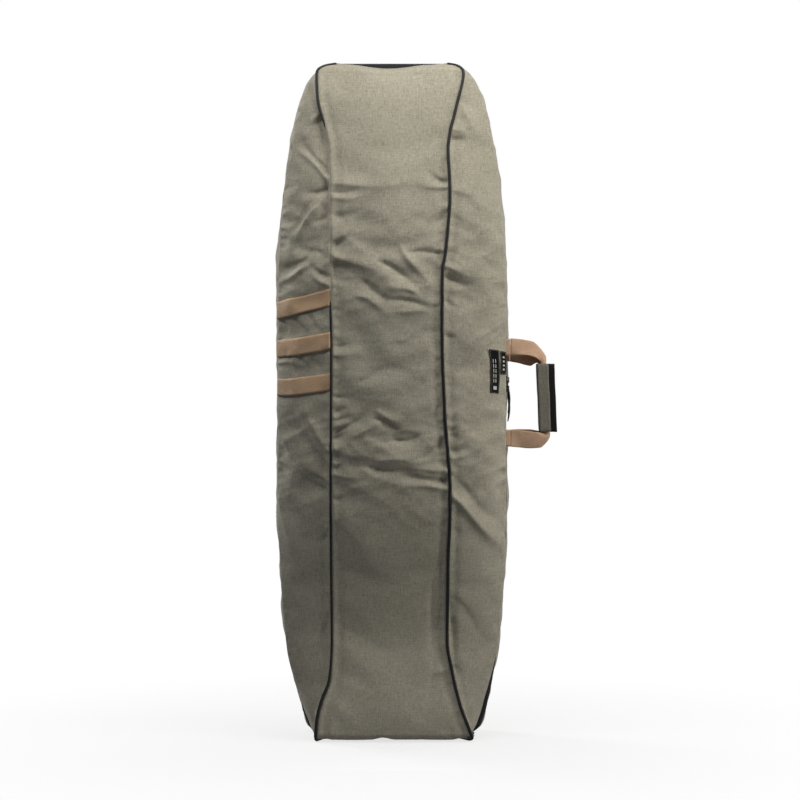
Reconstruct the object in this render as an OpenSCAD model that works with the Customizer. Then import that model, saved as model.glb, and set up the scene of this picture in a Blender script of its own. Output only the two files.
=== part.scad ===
// Padded board bag, standing on its foot.
// X runs across the bag, +Y towards its back panel and +Z up. The origin is on the floor, in the middle of the
// bag's width, under the rear half. The rear half is a tray: a back panel and a gusset round it. The lid is the
// front half: a centre panel that wraps over both ends, and two side panels. A zip joins them round the top, the
// right side and the foot, and a fabric hinge joins them down the left side.

/* [Bag] */
// Height of the bag
bag_h = 1520; // [1480:5:1560]
// Half the width where the sides run straight
half_w = 258; // [254:1:261]
// Half the width that the tapering ends are drawn from
taper_w = 264; // [262:1:268]
// Height of the widest place
waist_z = 850; // [820:5:880]
// Half the width of the flat foot
foot_half_w = 150; // [140:1:160]
// Half the width of the flat top
top_half_w = 120; // [110:1:130]
// Depth of the gusset, from the zip to the back panel
gusset_depth = 105; // [100:1:115]

/* [Lid] */
// How far the front panel stands out at the belly, beyond the zip
belly = 90; // [80:1:100]
// How far it stands out at the foot
foot_depth = 62; // [55:1:66]
// How far it stands out at the top
top_depth = 26; // [24:1:34]
// Radius of the front panel's fold at the foot
foot_fold = 30; // [24:1:34]
// Radius of the front panel's fold at the top
top_fold = 20; // [16:1:22]
// Extra roundness of the centre panel across the bag
crown = 8; // [4:1:12]
// How full the side panels are, from 0, flat, to 1, square
side_fullness = 0.45; // [0.3:0.05:0.6]

/* [Walls] */
// Thickness of the outer fabric
skin_t = 1; // [0.8:0.1:1.2]
// Thickness of the foam padding
foam_t = 5; // [4:0.5:6]
// Thickness of the lining
lining_t = 0.6; // [0.4:0.1:0.8]
// Diameter of the piping
piping_d = 5; // [4:0.5:5.5]

/* [Zip] */
// Width of the zip between the two halves of the bag
zip_w = 28; // [26:1:30]
// How far the zip tape lies below the bag's outline
tape_inset = 3; // [2.8:0.1:3.4]
// Height of the upper slider's centre
upper_slider_z = 806; // [800:1:812]
// Length of a slider
slider_l = 18; // [17:0.5:18]
// Length of a puller
puller_l = 76; // [60:1:76]

/* [Handles] */
// Width of the webbing
webbing_w = 38; // [36:1:40]
// Thickness of the webbing
webbing_t = 2.4; // [2:0.1:2.6]
// Height of the top of the hand wrap
wrap_top_z = 843; // [835:1:843]
// Height of the bottom of the hand wrap
wrap_bottom_z = 696; // [696:1:705]

/* [Hidden] */

fabric = "#8f8a7b";
black = "#1c1c1d";
tan = "#a5876d";
foam = "#d9d5c8";
grey_lining = "#4a4a4c";

// Depths, along Y.
gusset_front_y = -10;
back_y = gusset_front_y + gusset_depth;
lid_y = gusset_front_y - zip_w;
chain_y = (gusset_front_y + lid_y) / 2;
layer_gap = 0.1;
foam_in = skin_t + 0.2;
lining_in = foam_in + foam_t + layer_gap;
wall_t = lining_in + lining_t;

// The bag's outline from the front: a straight side that tapers into a rounded, flat-ended foot and top.
foot_roundness = [2, 8];
top_roundness = [1.5, 6.9];
function end_span(length, flat, r) = length / pow(1 - pow(flat / taper_w, r[1]), 1 / r[0]);
foot_span = end_span(waist_z, foot_half_w, foot_roundness);
top_span = end_span(bag_h - waist_z, top_half_w, top_roundness);
function taper(t, r) = taper_w * pow(1 - pow(t, r[0]), 1 / r[1]);
function half_width(z) = min(half_w, z < waist_z ? taper((waist_z - z) / foot_span, foot_roundness)
    : taper((z - waist_z) / top_span, top_roundness));

// Stations up the side, closer together towards the ends.
HALF_ROWS = 14;
ROWS = 2 * HALF_ROWS;
spacing_power = 2.2;
function station_z(k) = k <= HALF_ROWS ? waist_z * pow(k / HALF_ROWS, spacing_power)
    : bag_h - (bag_h - waist_z) * pow((ROWS - k) / HALF_ROWS, spacing_power);
function side_point(k) = [half_width(station_z(k)), station_z(k)];
// The closed outline: up the right side, then down the left. LOOP is its number of points.
LOOP = 2 * (ROWS + 1);
outline = [for (i = [0:LOOP - 1]) i <= ROWS ? side_point(i)
    : [-side_point(LOOP - 1 - i)[0], side_point(LOOP - 1 - i)[1]]];

function unit(v) = v / norm(v);
function left_of(a, b) = unit([a[1] - b[1], b[0] - a[0]]);
// The outline's point i moved inwards by d, with its edges kept parallel.
function inset_point(i, d) =
    let (c = outline[(i + LOOP) % LOOP], before = left_of(outline[(i + LOOP - 1) % LOOP], c),
        after = left_of(c, outline[(i + 1) % LOOP]), middle = unit(before + after))
    c + middle * d / (middle * before);
function band_points(first, last, outer, inner) =
    concat([for (i = [first:last]) inset_point(i, outer)], [for (i = [last:-1:first]) inset_point(i, inner)]);

// Where the gusset's four strips meet, as places in the outline.
right_from = 4;
right_to = ROWS - 4;
left_from = ROWS + 5;
left_to = LOOP - 5;
// Where the zip gives way to the fabric hinge on the left side.
hinge_from = left_from + 1;
hinge_to = left_to - 1;

// A flat shape in the XZ plane, from y0 back to y1.
module upright(y0, y1) {
    translate([0, y1, 0]) rotate([90, 0, 0]) linear_extrude(y1 - y0) children();
}

// A strip that follows the outline from one of its points to another.
module edge_band(first, last, outer, inner, y0, y1) {
    upright(y0, y1) polygon(band_points(first, last, outer, inner));
}

module inside_outline(d, y0, y1) {
    upright(y0, y1) polygon([for (i = [0:LOOP - 1]) inset_point(i, d)]);
}

// ---- Rear half ----

module back_skin() {
    color(fabric) inside_outline(0, back_y - skin_t, back_y);
}

module back_foam() {
    color(foam) inside_outline(wall_t + layer_gap, back_y - foam_in - foam_t, back_y - foam_in);
}

module back_lining() {
    color(grey_lining) inside_outline(wall_t + layer_gap, back_y - wall_t, back_y - lining_in);
}

module gusset_skin(first, last) {
    color(fabric) edge_band(first, last, 0, skin_t, gusset_front_y, back_y - foam_in);
}

module gusset_foam(first, last) {
    color(foam) edge_band(first, last, foam_in, foam_in + foam_t, gusset_front_y + skin_t, back_y - foam_in);
}

module gusset_lining() {
    color(grey_lining) upright(gusset_front_y + skin_t, back_y - foam_in) difference() {
        polygon([for (i = [0:LOOP - 1]) inset_point(i, lining_in)]);
        polygon([for (i = [0:LOOP - 1]) inset_point(i, wall_t)]);
    }
}

// A tube of 8 sides along a list of rings, each a list of points. It is closed into a loop or capped.
TUBE_SIDES = 8;
module tube(rings, closed) {
    n = len(rings);
    last = closed ? n - 1 : n - 2;
    polyhedron(points = [for (r = rings) each r], faces = concat(
        [for (i = [0:last], s = [0:TUBE_SIDES - 1]) let (a = i * TUBE_SIDES, b = (i + 1) % n * TUBE_SIDES,
            t = (s + 1) % TUBE_SIDES) each [[a + s, b + s, b + t], [a + s, b + t, a + t]]],
        closed ? [] : [[for (s = [0:TUBE_SIDES - 1]) s],
            [for (s = [TUBE_SIDES - 1:-1:0]) (n - 1) * TUBE_SIDES + s]]));
}

// A ring round a point, given two directions across the tube.
function ring(centre, across, up) = [for (s = [0:TUBE_SIDES - 1]) let (a = s * 360 / TUBE_SIDES)
    centre + piping_d / 2 * (cos(a) * across + sin(a) * up)];

module back_piping() {
    bead_in = piping_d / 2 + 0.5;
    bead_y = back_y + piping_d / 2 + layer_gap;
    color(black) tube([for (i = [0:LOOP - 1]) let (p = inset_point(i, bead_in), q = inset_point(i, 0),
        out = unit(q - p)) ring([p[0], bead_y, p[1]], [out[0], 0, out[1]], [0, 1, 0])], true);
}

// ---- Zip and fabric hinge ----

tape_t = 0.8;
coil_w = 3;
coil_t = 2;
// Half the gap between the two coils, and between the two tapes.
coil_gap = 0.7;
tape_gap = 1.1;
// The band that runs the zip's way: from the left side's top, over the top, down the right and round the foot.
function zip_band(outer, inner) = let (first = hinge_to, last = hinge_from + LOOP)
    concat([for (i = [first:last]) inset_point(i, outer)], [for (i = [last:-1:first]) inset_point(i, inner)]);

module zip_tape(y0, y1) {
    color(black) upright(y0, y1) polygon(zip_band(tape_inset, tape_inset + tape_t));
}

module zip_coil(y0) {
    color(black) upright(y0, y0 + coil_w)
        polygon(zip_band(tape_inset - layer_gap - coil_t, tape_inset - layer_gap));
}

module hinge_band(y0, y1) {
    color(fabric) edge_band(hinge_from, hinge_to, tape_inset - 1, tape_inset + 0.2, y0, y1);
}

// A short tab over each end of the zip, beside the end of the fabric hinge.
module zip_end_tabs() {
    color(black) for (first = [left_from, hinge_to])
        edge_band(first, first + 1, tape_inset - 1.6, tape_inset - layer_gap,
            chain_y + coil_gap + coil_w + 0.3, gusset_front_y - 1);
}

// ---- Lid ----

// Rows run up the centre panel: over the foot, up the front and over the top. Columns run across the lid.
SIDE_COLS = 5;
CENTRE_COLS = 8;
COLS = 2 * SIDE_COLS + CENTRE_COLS;
left_seam = SIDE_COLS;
right_seam = SIDE_COLS + CENTRE_COLS;
// How far the front stands out at each height, as shares of the belly.
belly_shape = [[60, 0.68], [185, 0.53], [350, 0.68], [600, 0.92], [850, 1], [1000, 0.97], [1120, 0.86],
    [1230, 0.73], [1330, 0.57], [1440, 0.4]];
// The seams' distance from the middle, by height. Below 0 and above the top is where they turn under the bag.
seam_shape = [[-62, foot_half_w], [-30, 158], [0, 168], [30, 166], [80, 154], [165, 135], [220, 127],
    [535, 130], [715, 125], [918, 121], [1030, 122], [1233, 132], [1323, 134], [1413, 152], [1500, 159],
    [1526, 138], [1546, top_half_w]];
// The panels' ends stand off the floor by the height of the piping.
seam_lift = piping_d + 0.6;
fold_rise = 1 - cos(45);
function row_z(k) = k == 0 ? 0 : k == 1 ? seam_lift : k == 2 ? seam_lift + foot_fold * fold_rise
    : k == 3 ? seam_lift + foot_fold : k == ROWS ? bag_h : k == ROWS - 1 ? bag_h - seam_lift
    : k == ROWS - 2 ? bag_h - seam_lift - top_fold * fold_rise
    : k == ROWS - 3 ? bag_h - seam_lift - top_fold : station_z(k);
function row_depth(k) = k == 0 || k == ROWS ? 0
    : k == 1 ? foot_depth - foot_fold : k == 2 ? foot_depth - foot_fold * fold_rise : k == 3 ? foot_depth
    : k == ROWS - 1 ? top_depth - top_fold : k == ROWS - 2 ? top_depth - top_fold * fold_rise
    : k == ROWS - 3 ? top_depth : belly * lookup(row_z(k), belly_shape);
function seam_x(k) = lookup(k < 3 ? row_z(k) - foot_depth + row_depth(k)
    : k > ROWS - 3 ? row_z(k) + top_depth - row_depth(k) : row_z(k), seam_shape);
function row_crown(k) = crown * min(1, row_depth(k) / belly);

function seam_point(k) = [seam_x(k), lid_y - row_depth(k), row_z(k)];
// The side panels end in a point: the outline's corner is where their first and last rows meet the zip.
function edge_place(k) = k == 1 ? 0 : k == ROWS - 1 ? ROWS : k;
function edge_point(k) = let (p = side_point(edge_place(k))) [p[0], lid_y, p[1]];
function bend(a, c, b, s) = (1 - s) * (1 - s) * a + 2 * s * (1 - s) * c + s * s * b;
function side_at(k, s) = let (a = seam_point(k), b = edge_point(k), middle = (a + b) / 2,
    corner = [b[0], a[1], middle[2]]) bend(a, middle + side_fullness * (corner - middle), b, s);
function centre_at(k, u) = let (a = seam_point(k)) [u * a[0], a[1] - row_crown(k) * (1 - u * u), a[2]];
function mirrored(p) = [-p[0], p[1], p[2]];
function lid_point(k, j) = j < left_seam ? mirrored(side_at(k, (left_seam - j) / SIDE_COLS))
    : j > right_seam ? side_at(k, (j - right_seam) / SIDE_COLS)
    : centre_at(k, (j - COLS / 2) * 2 / CENTRE_COLS);
lid = [for (k = [0:ROWS]) [for (j = [0:COLS]) lid_point(k, j)]];

// Outward direction at each point. Along the zip it stays in the XZ plane, so every layer ends at the zip.
function outline_out(k) = unit(inset_point(k, 0) - inset_point(k, 1));
function edge_out(k, side) = let (o = outline_out(edge_place(k))) [side * o[0], 0, o[1]];
function lid_normal(k, j) = j == 0 || j == COLS ? edge_out(k, j == 0 ? -1 : 1)
    : let (n = cross(lid[k][j + 1] - lid[k][j - 1], lid[min(ROWS, k + 1)][j] - lid[max(0, k - 1)][j]))
    unit(k == 0 || k == ROWS ? [n[0], 0, n[2]] : n);
lid_out = [for (k = [0:ROWS]) [for (j = [0:COLS]) lid_normal(k, j)]];

// A closed sheet between two grids of points, outer and inner. Rows run up and columns to the right.
module sheet(outer, inner) {
    rows = len(outer) - 1;
    cols = len(outer[0]) - 1;
    width = cols + 1;
    back = (rows + 1) * width;
    polyhedron(points = concat([for (r = outer) each r], [for (r = inner) each r]), faces = concat(
        [for (k = [0:rows - 1], j = [0:cols - 1]) let (a = k * width + j, b = a + 1, d = a + width, c = d + 1)
            each [[a, d, c], [a, c, b], [back + a, back + c, back + d], [back + a, back + b, back + c]]],
        [for (j = [0:cols - 1]) let (a = j, b = j + 1) each [[a, b, back + b], [a, back + b, back + a]]],
        [for (j = [0:cols - 1]) let (d = rows * width + j, c = d + 1)
            each [[c, d, back + d], [c, back + d, back + c]]],
        [for (k = [0:rows - 1]) let (a = k * width, d = a + width)
            each [[d, a, back + a], [d, back + a, back + d]]],
        [for (k = [0:rows - 1]) let (b = k * width + cols, c = b + width)
            each [[b, c, back + b], [c, back + c, back + b]]]));
}

// A layer of the lid between two rows and two columns, from one depth below its surface to another.
function lid_layer(k0, k1, j0, j1, d) = [for (k = [k0:k1]) [for (j = [j0:j1]) lid[k][j] - d * lid_out[k][j]]];
module lid_panel(end, j0, j1, outer, inner) {
    sheet(lid_layer(end, ROWS - end, j0, j1, outer), lid_layer(end, ROWS - end, j0, j1, inner));
}
// end is how many rows a layer stops short of the zip at the foot and at the top.
module panel_skin(end, j0, j1) {
    color(fabric) lid_panel(end, j0, j1, 0, skin_t);
}
module panel_foam(end, j0, j1) {
    color(foam) lid_panel(end, j0, j1, foam_in, foam_in + foam_t);
}
module panel_lining(end, j0, j1) {
    color(grey_lining) lid_panel(end, j0, j1, lining_in, wall_t);
}

// Piping on the seam between the centre panel and a side panel.
module seam_piping(j) {
    color(black) tube([for (k = [1:ROWS - 1]) let (out = lid_out[k][j],
        along = unit(lid[k + 1][j] - lid[k - 1][j]), across = unit(cross(out, along)))
        ring(lid[k][j] + (piping_d / 2 + 0.4) * out, across, out)], false);
}

// A point on the lid between its rows and columns, raised by d.
function mix(a, b, t) = (1 - t) * a + t * b;
function between(grid, k, j) = let (r = min(ROWS - 1, floor(k)), c = min(COLS - 1, floor(j)))
    mix(mix(grid[r][c], grid[r][c + 1], j - c), mix(grid[r + 1][c], grid[r + 1][c + 1], j - c), k - r);
row_of_z = [for (k = [0:ROWS]) [station_z(k), k]];
function on_lid(z, j, d) = let (k = lookup(z, row_of_z)) between(lid, k, j) + d * unit(between(lid_out, k, j));

// A patch on the lid between two columns. Its height runs from low to high, each given at both columns.
// bow is how far its middle stands off the lid.
module patch(j0, j1, low, high, thickness, steps, bow) {
    function layer(d) = [for (r = [0:2]) [for (s = [0:steps]) let (t = s / steps)
        on_lid(mix(mix(low[0], low[1], t), mix(high[0], high[1], t), r / 2), mix(j0, j1, t),
            d + bow * sin(180 * t))]];
    sheet(layer(0.5 + thickness), layer(0.5));
}

// Webbing sewn across the left side panel, from the zip to the seam, and free in the middle.
module side_strip(edge_z, seam_z) {
    color(tan) patch(0.06, left_seam - 0.25, [edge_z, seam_z] - [1, 1] * webbing_w / 2,
        [edge_z, seam_z] + [1, 1] * webbing_w / 2, 2, 8, 3);
}

// A woven label on the right side panel. from and to are its sides' places: 0 at the seam, 1 at the zip.
module label(from, to, low, high) {
    color(black) patch(right_seam + SIDE_COLS * from, right_seam + SIDE_COLS * to, low, high, 0.6, 3, 0);
}

// ---- Handles ----

anchor_x = half_w - tape_inset + layer_gap;
anchor_end_x = half_w + 8;
strap_x = anchor_end_x + 1.6;
front_strap_y = lid_y + 1.4;
rear_strap_y = gusset_front_y - 1.4;
strap_angle = 6.7;
upper_root_z = 880;
rear_upper_root_z = 867;
lower_root_z = 675;
// The folded webbing inside the hand wrap, as distances from the bag.
grip_near = 63.5;
grip_far = 83.5;

module strap_anchors(y, upper_z) {
    color(tan) for (z = [upper_z, lower_root_z])
        translate([anchor_x, y - webbing_t / 2, z - webbing_w / 2])
            cube([anchor_end_x - anchor_x, webbing_t, webbing_w]);
}

// A handle's webbing, flat, as [distance from the bag, height]: out along the upper arm, down and back.
function strap_shape(upper_z) = let (h = webbing_w / 2)
    [[0, upper_z + h], [52, upper_z + h - 7], [grip_far, upper_z - 22], [grip_far, lower_root_z + 5],
    [70, lower_root_z - 18], [40, lower_root_z - h - 4], [0, lower_root_z - h], [0, lower_root_z + h],
    [50, lower_root_z + h - 4], [grip_near, lower_root_z + h + 4], [grip_near, upper_z - h - 14],
    [50, upper_z - h - 5], [0, upper_z - h]];

// Draws its children in a handle's own plane: X out along the webbing, Y its thickness.
module in_handle(y, angle) {
    translate([strap_x, y, 0]) rotate([0, 0, angle]) children();
}

module strap(y, angle, upper_z) {
    color(tan) in_handle(y, angle) {
        upright(-webbing_t / 2, webbing_t / 2) polygon(strap_shape(upper_z));
        for (z = [upper_z, lower_root_z]) translate([0, 0, z - webbing_w / 2])
            cylinder(h = webbing_w, d = webbing_t, $fn = 24);
    }
}

// The hand wrap: a front leaf that turns about its edge nearest the bag, and a back leaf with the spine.
leaf_near = 58.4;
front_leaf_far = 85.5;
back_leaf_far = 101.5;
cover_t = 2.6;
leaf_lining_t = 1.2;
leaf_y = webbing_t / 2 + 0.4;
spine_t = 3;
spine_reach = 16;
// How far the spine's top end stays below the leaves', clear of the webbing's bend.
spine_drop = 7;

module leaf(near, far, y0, y1) {
    translate([near, min(y0, y1), wrap_bottom_z])
        cube([far - near, abs(y1 - y0), wrap_top_z - wrap_bottom_z]);
}

module wrap_front_lining() {
    color(black) in_handle(front_strap_y, strap_angle)
        leaf(leaf_near, front_leaf_far, -leaf_y, -leaf_y - leaf_lining_t);
}

module wrap_front_cover() {
    inner = leaf_y + leaf_lining_t + layer_gap;
    color(fabric) in_handle(front_strap_y, strap_angle)
        leaf(leaf_near, front_leaf_far, -inner, -inner - cover_t);
}

module wrap_back_lining() {
    color(black) in_handle(rear_strap_y, -strap_angle)
        leaf(leaf_near, back_leaf_far, leaf_y, leaf_y + leaf_lining_t);
}

module wrap_back_cover() {
    inner = leaf_y + leaf_lining_t + layer_gap;
    color(fabric) in_handle(rear_strap_y, -strap_angle) {
        leaf(leaf_near, back_leaf_far, inner, inner + cover_t);
        translate([leaf_near - spine_t - 0.4, inner - spine_reach, wrap_bottom_z])
            cube([spine_t, spine_reach + cover_t, wrap_top_z - wrap_bottom_z - spine_drop]);
        translate([leaf_near - 1, inner, wrap_bottom_z])
            cube([2, cover_t, wrap_top_z - wrap_bottom_z - spine_drop]);
    }
}

// ---- Sliders and pullers ----

tape_x = half_w - tape_inset;
slider_w = 12;
plate_t = 2;
coil_top_x = tape_x + layer_gap + coil_t;
plate_x = coil_top_x + 0.3;
lower_plate_x = tape_x - tape_t - 0.3 - plate_t;
post_t = 0.8;
bail_w = 2;
bail_l = 12;
bail_rise = 3.4;
bail_t = 1.8;
pivot_x = plate_x + plate_t + bail_rise / 2;
lower_slider_z = upper_slider_z - slider_l - 1;

// A slider: a plate on each side of the coils, the post between them, and the bail that holds the puller.
// side is 1 if the post is at the slider's upper end, and -1 if it is at the lower end.
module slider(z, side) {
    color("#303032") translate([0, chain_y, z]) {
        translate([plate_x, -slider_w / 2, -slider_l / 2]) cube([plate_t, slider_w, slider_l]);
        translate([lower_plate_x, -slider_w / 2, -slider_l / 2]) cube([plate_t, slider_w, slider_l]);
        translate([lower_plate_x + plate_t / 2, -post_t / 2, side * (slider_l / 2 - 2.5) - 2])
            cube([plate_x - lower_plate_x, post_t, 4]);
        translate([plate_x + plate_t / 2, -bail_w / 2, -bail_l / 2]) difference() {
            cube([plate_t / 2 + bail_rise + bail_t, bail_w, bail_l]);
            translate([plate_t / 2, -1, 2]) cube([bail_rise, bail_w + 2, bail_l - 4]);
        }
    }
}

puller_t = 1.8;
puller_eye = 2.6;
puller_strand = 1.4;
puller_half_w = 2.9;
puller_neck = -14;
// A puller that hangs from a bail, drawn in the YZ plane round its pivot. lean is how far its tab hangs aside.
module puller(z, lean) {
    side = puller_eye + puller_strand;
    slant = lean < 0 ? lean / 2 : 0;
    color(black) translate([pivot_x - puller_t / 2, chain_y, z]) rotate([90, 0, 90])
        linear_extrude(puller_t) difference() {
            polygon([[-side, puller_t / 2], [side, puller_t / 2], [side, -6.5],
                [lean + puller_half_w, puller_neck], [lean + puller_half_w, -puller_l + 5],
                [lean + 1.5, -puller_l], [lean - 1.5, -puller_l], [lean - puller_half_w, -puller_l + 5],
                [lean - puller_half_w, puller_neck], [-side + slant, -7]]);
            polygon([[-puller_eye, -puller_t / 2], [puller_eye, -puller_t / 2], [puller_eye, -6],
                [lean * 0.8 + 1, puller_neck + 2], [lean * 0.8 - 1, puller_neck + 2],
                [-puller_eye + slant, -7]]);
        }
}

// ---- Nodes ----

back_skin();
back_foam();
back_lining();
back_piping();
gusset_skin(right_to, left_from);  // gusset_top_skin
gusset_skin(left_to, LOOP + right_from);  // gusset_bottom_skin
gusset_skin(left_from, left_to);  // gusset_left_skin
gusset_skin(right_from, right_to);  // gusset_right_skin
gusset_foam(right_to, left_from);  // gusset_top_foam
gusset_foam(left_to, LOOP + right_from);  // gusset_bottom_foam
gusset_foam(left_from, left_to);  // gusset_left_foam
gusset_foam(right_from, right_to);  // gusset_right_foam
gusset_lining();
zip_tape(chain_y + tape_gap, gusset_front_y - layer_gap);  // rear_zip_tape
zip_coil(chain_y + coil_gap);  // rear_zip_coil
hinge_band(chain_y + 1, gusset_front_y - layer_gap);  // rear_hinge_band
zip_end_tabs();
panel_skin(0, left_seam, right_seam);  // front_skin
panel_foam(0, left_seam, right_seam);  // front_foam
panel_lining(0, left_seam, right_seam);  // front_lining
panel_skin(1, 0, left_seam);  // left_skin
panel_foam(2, 0, left_seam);  // left_foam
panel_lining(2, 0, left_seam);  // left_lining
panel_skin(1, right_seam, COLS);  // right_skin
panel_foam(2, right_seam, COLS);  // right_foam
panel_lining(2, right_seam, COLS);  // right_lining
seam_piping(left_seam);  // left_piping
seam_piping(right_seam);  // right_piping
zip_tape(lid_y + layer_gap, chain_y - tape_gap);  // front_zip_tape
zip_coil(chain_y - coil_gap - coil_w);  // front_zip_coil
hinge_band(lid_y + layer_gap, chain_y - 1);  // front_hinge_band
side_strip(960, 987);  // upper_side_strip
side_strip(875, 892);  // middle_side_strip
side_strip(790, 800);  // lower_side_strip
label(0.62, 0.8, [777, 775], [874, 872]);  // long_label
label(0.835, 0.975, [819, 818], [870, 869]);  // short_label
strap_anchors(front_strap_y, upper_root_z);  // front_strap_anchors
strap_anchors(rear_strap_y, rear_upper_root_z);  // rear_strap_anchors
strap(front_strap_y, strap_angle, upper_root_z);  // front_strap
strap(rear_strap_y, -strap_angle, rear_upper_root_z);  // rear_strap
wrap_front_cover();
wrap_front_lining();
wrap_back_cover();
wrap_back_lining();
slider(upper_slider_z, -1);  // upper_slider
slider(lower_slider_z, 1);  // lower_slider
puller(upper_slider_z, -7.4);  // upper_puller
puller(lower_slider_z, 0);  // lower_puller
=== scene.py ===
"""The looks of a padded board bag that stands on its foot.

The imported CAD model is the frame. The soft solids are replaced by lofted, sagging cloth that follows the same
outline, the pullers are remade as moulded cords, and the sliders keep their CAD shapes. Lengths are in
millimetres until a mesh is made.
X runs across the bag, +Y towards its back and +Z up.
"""
import math

import bmesh
import bpy
import numpy as np
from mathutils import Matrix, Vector, noise


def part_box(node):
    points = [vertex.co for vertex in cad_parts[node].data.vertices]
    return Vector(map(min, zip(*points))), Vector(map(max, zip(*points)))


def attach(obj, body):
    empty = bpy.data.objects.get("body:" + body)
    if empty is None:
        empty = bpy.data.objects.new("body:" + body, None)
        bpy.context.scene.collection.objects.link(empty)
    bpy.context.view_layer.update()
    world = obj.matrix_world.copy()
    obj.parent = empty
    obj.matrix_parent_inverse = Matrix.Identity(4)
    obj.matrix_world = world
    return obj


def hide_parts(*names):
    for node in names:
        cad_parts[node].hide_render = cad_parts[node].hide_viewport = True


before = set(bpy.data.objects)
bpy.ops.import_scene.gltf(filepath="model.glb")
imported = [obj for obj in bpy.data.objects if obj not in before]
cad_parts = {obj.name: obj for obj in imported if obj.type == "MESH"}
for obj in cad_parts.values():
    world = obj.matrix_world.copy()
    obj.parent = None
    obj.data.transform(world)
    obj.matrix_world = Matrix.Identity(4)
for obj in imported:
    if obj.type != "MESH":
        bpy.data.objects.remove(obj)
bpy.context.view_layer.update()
MM = 0.001


def box_mm(node):
    low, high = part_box(node)
    return np.array(low) / MM, np.array(high) / MM


# ---- Sizes, from the frame and as in the CAD source ----

BACK_LOW, BACK_HIGH = box_mm("back_skin")
BAG_H, HALF_W, BACK_Y = BACK_HIGH[2], BACK_HIGH[0], BACK_HIGH[1]
GUSSET_Y = box_mm("gusset_right_skin")[0][1]
LID_Y = box_mm("right_skin")[1][1]
CHAIN_Y = (GUSSET_Y + LID_Y) / 2
TAPER_W, WAIST_Z, FOOT_HALF_W, TOP_HALF_W = 264, 850, 150, 120
FOOT_ROUND, TOP_ROUND = (2, 8), (1.5, 6.9)
BELLY, FOOT_DEPTH, TOP_DEPTH, FOOT_FOLD, TOP_FOLD = 90, 66, 26, 14, 20
SEAM_LIFT, CROWN, FULLNESS = 5.6, 8, 0.45
FOOT_SPREAD = [(0, 0), (22, 4), (45, 0.5), (95, -4), (200, 0), (300, 0)]
FOOT_LEAN = [(0, 0), (22, 5.5), (95, 5), (200, 0), (300, 0)]
SKIN_T, FOAM_T, LINING_T, TAPE_INSET = 1.0, 5.0, 0.6, 3.0
BELLY_SHAPE = [(19.6, 0.733), (60, 0.7), (150, 0.5), (240, 0.4), (340, 0.54), (450, 0.8), (550, 0.95),
               (850, 1), (1000, 0.97), (1120, 0.86), (1230, 0.73), (1330, 0.57), (1440, 0.4), (1494.4, 0.289)]
RIGHT_SEAM = [(-62, 150), (-30, 166), (0, 179), (30, 170), (74, 153), (164, 131), (220, 122), (400, 124),
              (535, 128), (560, 128), (715, 117), (918, 110), (1030, 110), (1098, 119), (1233, 128),
              (1323, 124), (1413, 142), (1500, 160), (1526, 138), (1546, 120)]
LEFT_SEAM = [(-62, 150), (-30, 158), (0, 168), (50, 165), (90, 155), (137, 138), (220, 133), (400, 134),
             (600, 134), (873, 133), (985, 135), (1210, 137), (1323, 140), (1379, 151), (1435, 165),
             (1500, 168), (1526, 140), (1546, 120)]


def lookup(x, pairs):
    """A smooth curve through (x, y) pairs that never overshoots them."""
    xs, ys = np.array(pairs, float).T
    h, d = np.diff(xs), np.diff(ys) / np.diff(xs)
    m = np.r_[d[0], np.zeros(len(xs) - 2), d[-1]]
    for i in range(1, len(xs) - 1):
        if d[i - 1] * d[i] > 0:
            w1, w2 = 2 * h[i] + h[i - 1], h[i] + 2 * h[i - 1]
            m[i] = (w1 + w2) / (w1 / d[i - 1] + w2 / d[i])
    x = np.clip(x, xs[0], xs[-1])
    i = np.clip(np.searchsorted(xs, x) - 1, 0, len(xs) - 2)
    t = (x - xs[i]) / h[i]
    return ((1 + 2 * t) * (1 - t) ** 2 * ys[i] + t * (1 - t) ** 2 * h[i] * m[i]
            + t * t * (3 - 2 * t) * ys[i + 1] + t * t * (t - 1) * h[i] * m[i + 1])


# ---- Outline ----

def end_span(length, flat, shape):
    return length / (1 - (flat / TAPER_W) ** shape[1]) ** (1 / shape[0])


def taper(t, shape):
    return TAPER_W * np.maximum(1 - t ** shape[0], 0) ** (1 / shape[1])


def half_width(z):
    """Half the bag's width at a height. The weight of the bag spreads its foot a little."""
    z = np.asarray(z, float)
    foot = taper(np.maximum(WAIST_Z - z, 0) / end_span(WAIST_Z, FOOT_HALF_W, FOOT_ROUND), FOOT_ROUND)
    top = taper(np.maximum(z - WAIST_Z, 0) / end_span(BAG_H - WAIST_Z, TOP_HALF_W, TOP_ROUND), TOP_ROUND)
    return np.minimum(HALF_W, np.where(z < WAIST_Z, foot, top)) + lookup(z, FOOT_SPREAD)


def lean(z):
    """How far the bag leans to the right near its foot."""
    return lookup(z, FOOT_LEAN)


SIDE_Z = BAG_H * (1 - np.cos(np.linspace(0, math.pi, 1200))) / 2
SIDE_X = half_width(SIDE_Z)
SIDE_ARC = np.r_[0, np.cumsum(np.hypot(np.diff(SIDE_X), np.diff(SIDE_Z)))]


def outline_loop(spacing):
    """The closed outline as (x, z) points: from the foot's middle up the right side and down the left."""
    foot = np.linspace(0, FOOT_HALF_W, 40)[:-1]
    top = np.linspace(TOP_HALF_W, 0, 40)[1:]
    x = np.r_[foot, SIDE_X, top]
    z = np.r_[foot * 0, SIDE_Z, top * 0 + BAG_H]
    x, z = np.r_[x, -x[-2::-1]], np.r_[z, z[-2::-1]]
    x = x + lean(z)
    arc = np.r_[0, np.cumsum(np.hypot(np.diff(x), np.diff(z)))]
    n = int(arc[-1] / spacing)
    s = np.linspace(0, arc[-1], n, endpoint=False)
    return np.c_[np.interp(s, arc, x), np.interp(s, arc, z)], s


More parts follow.
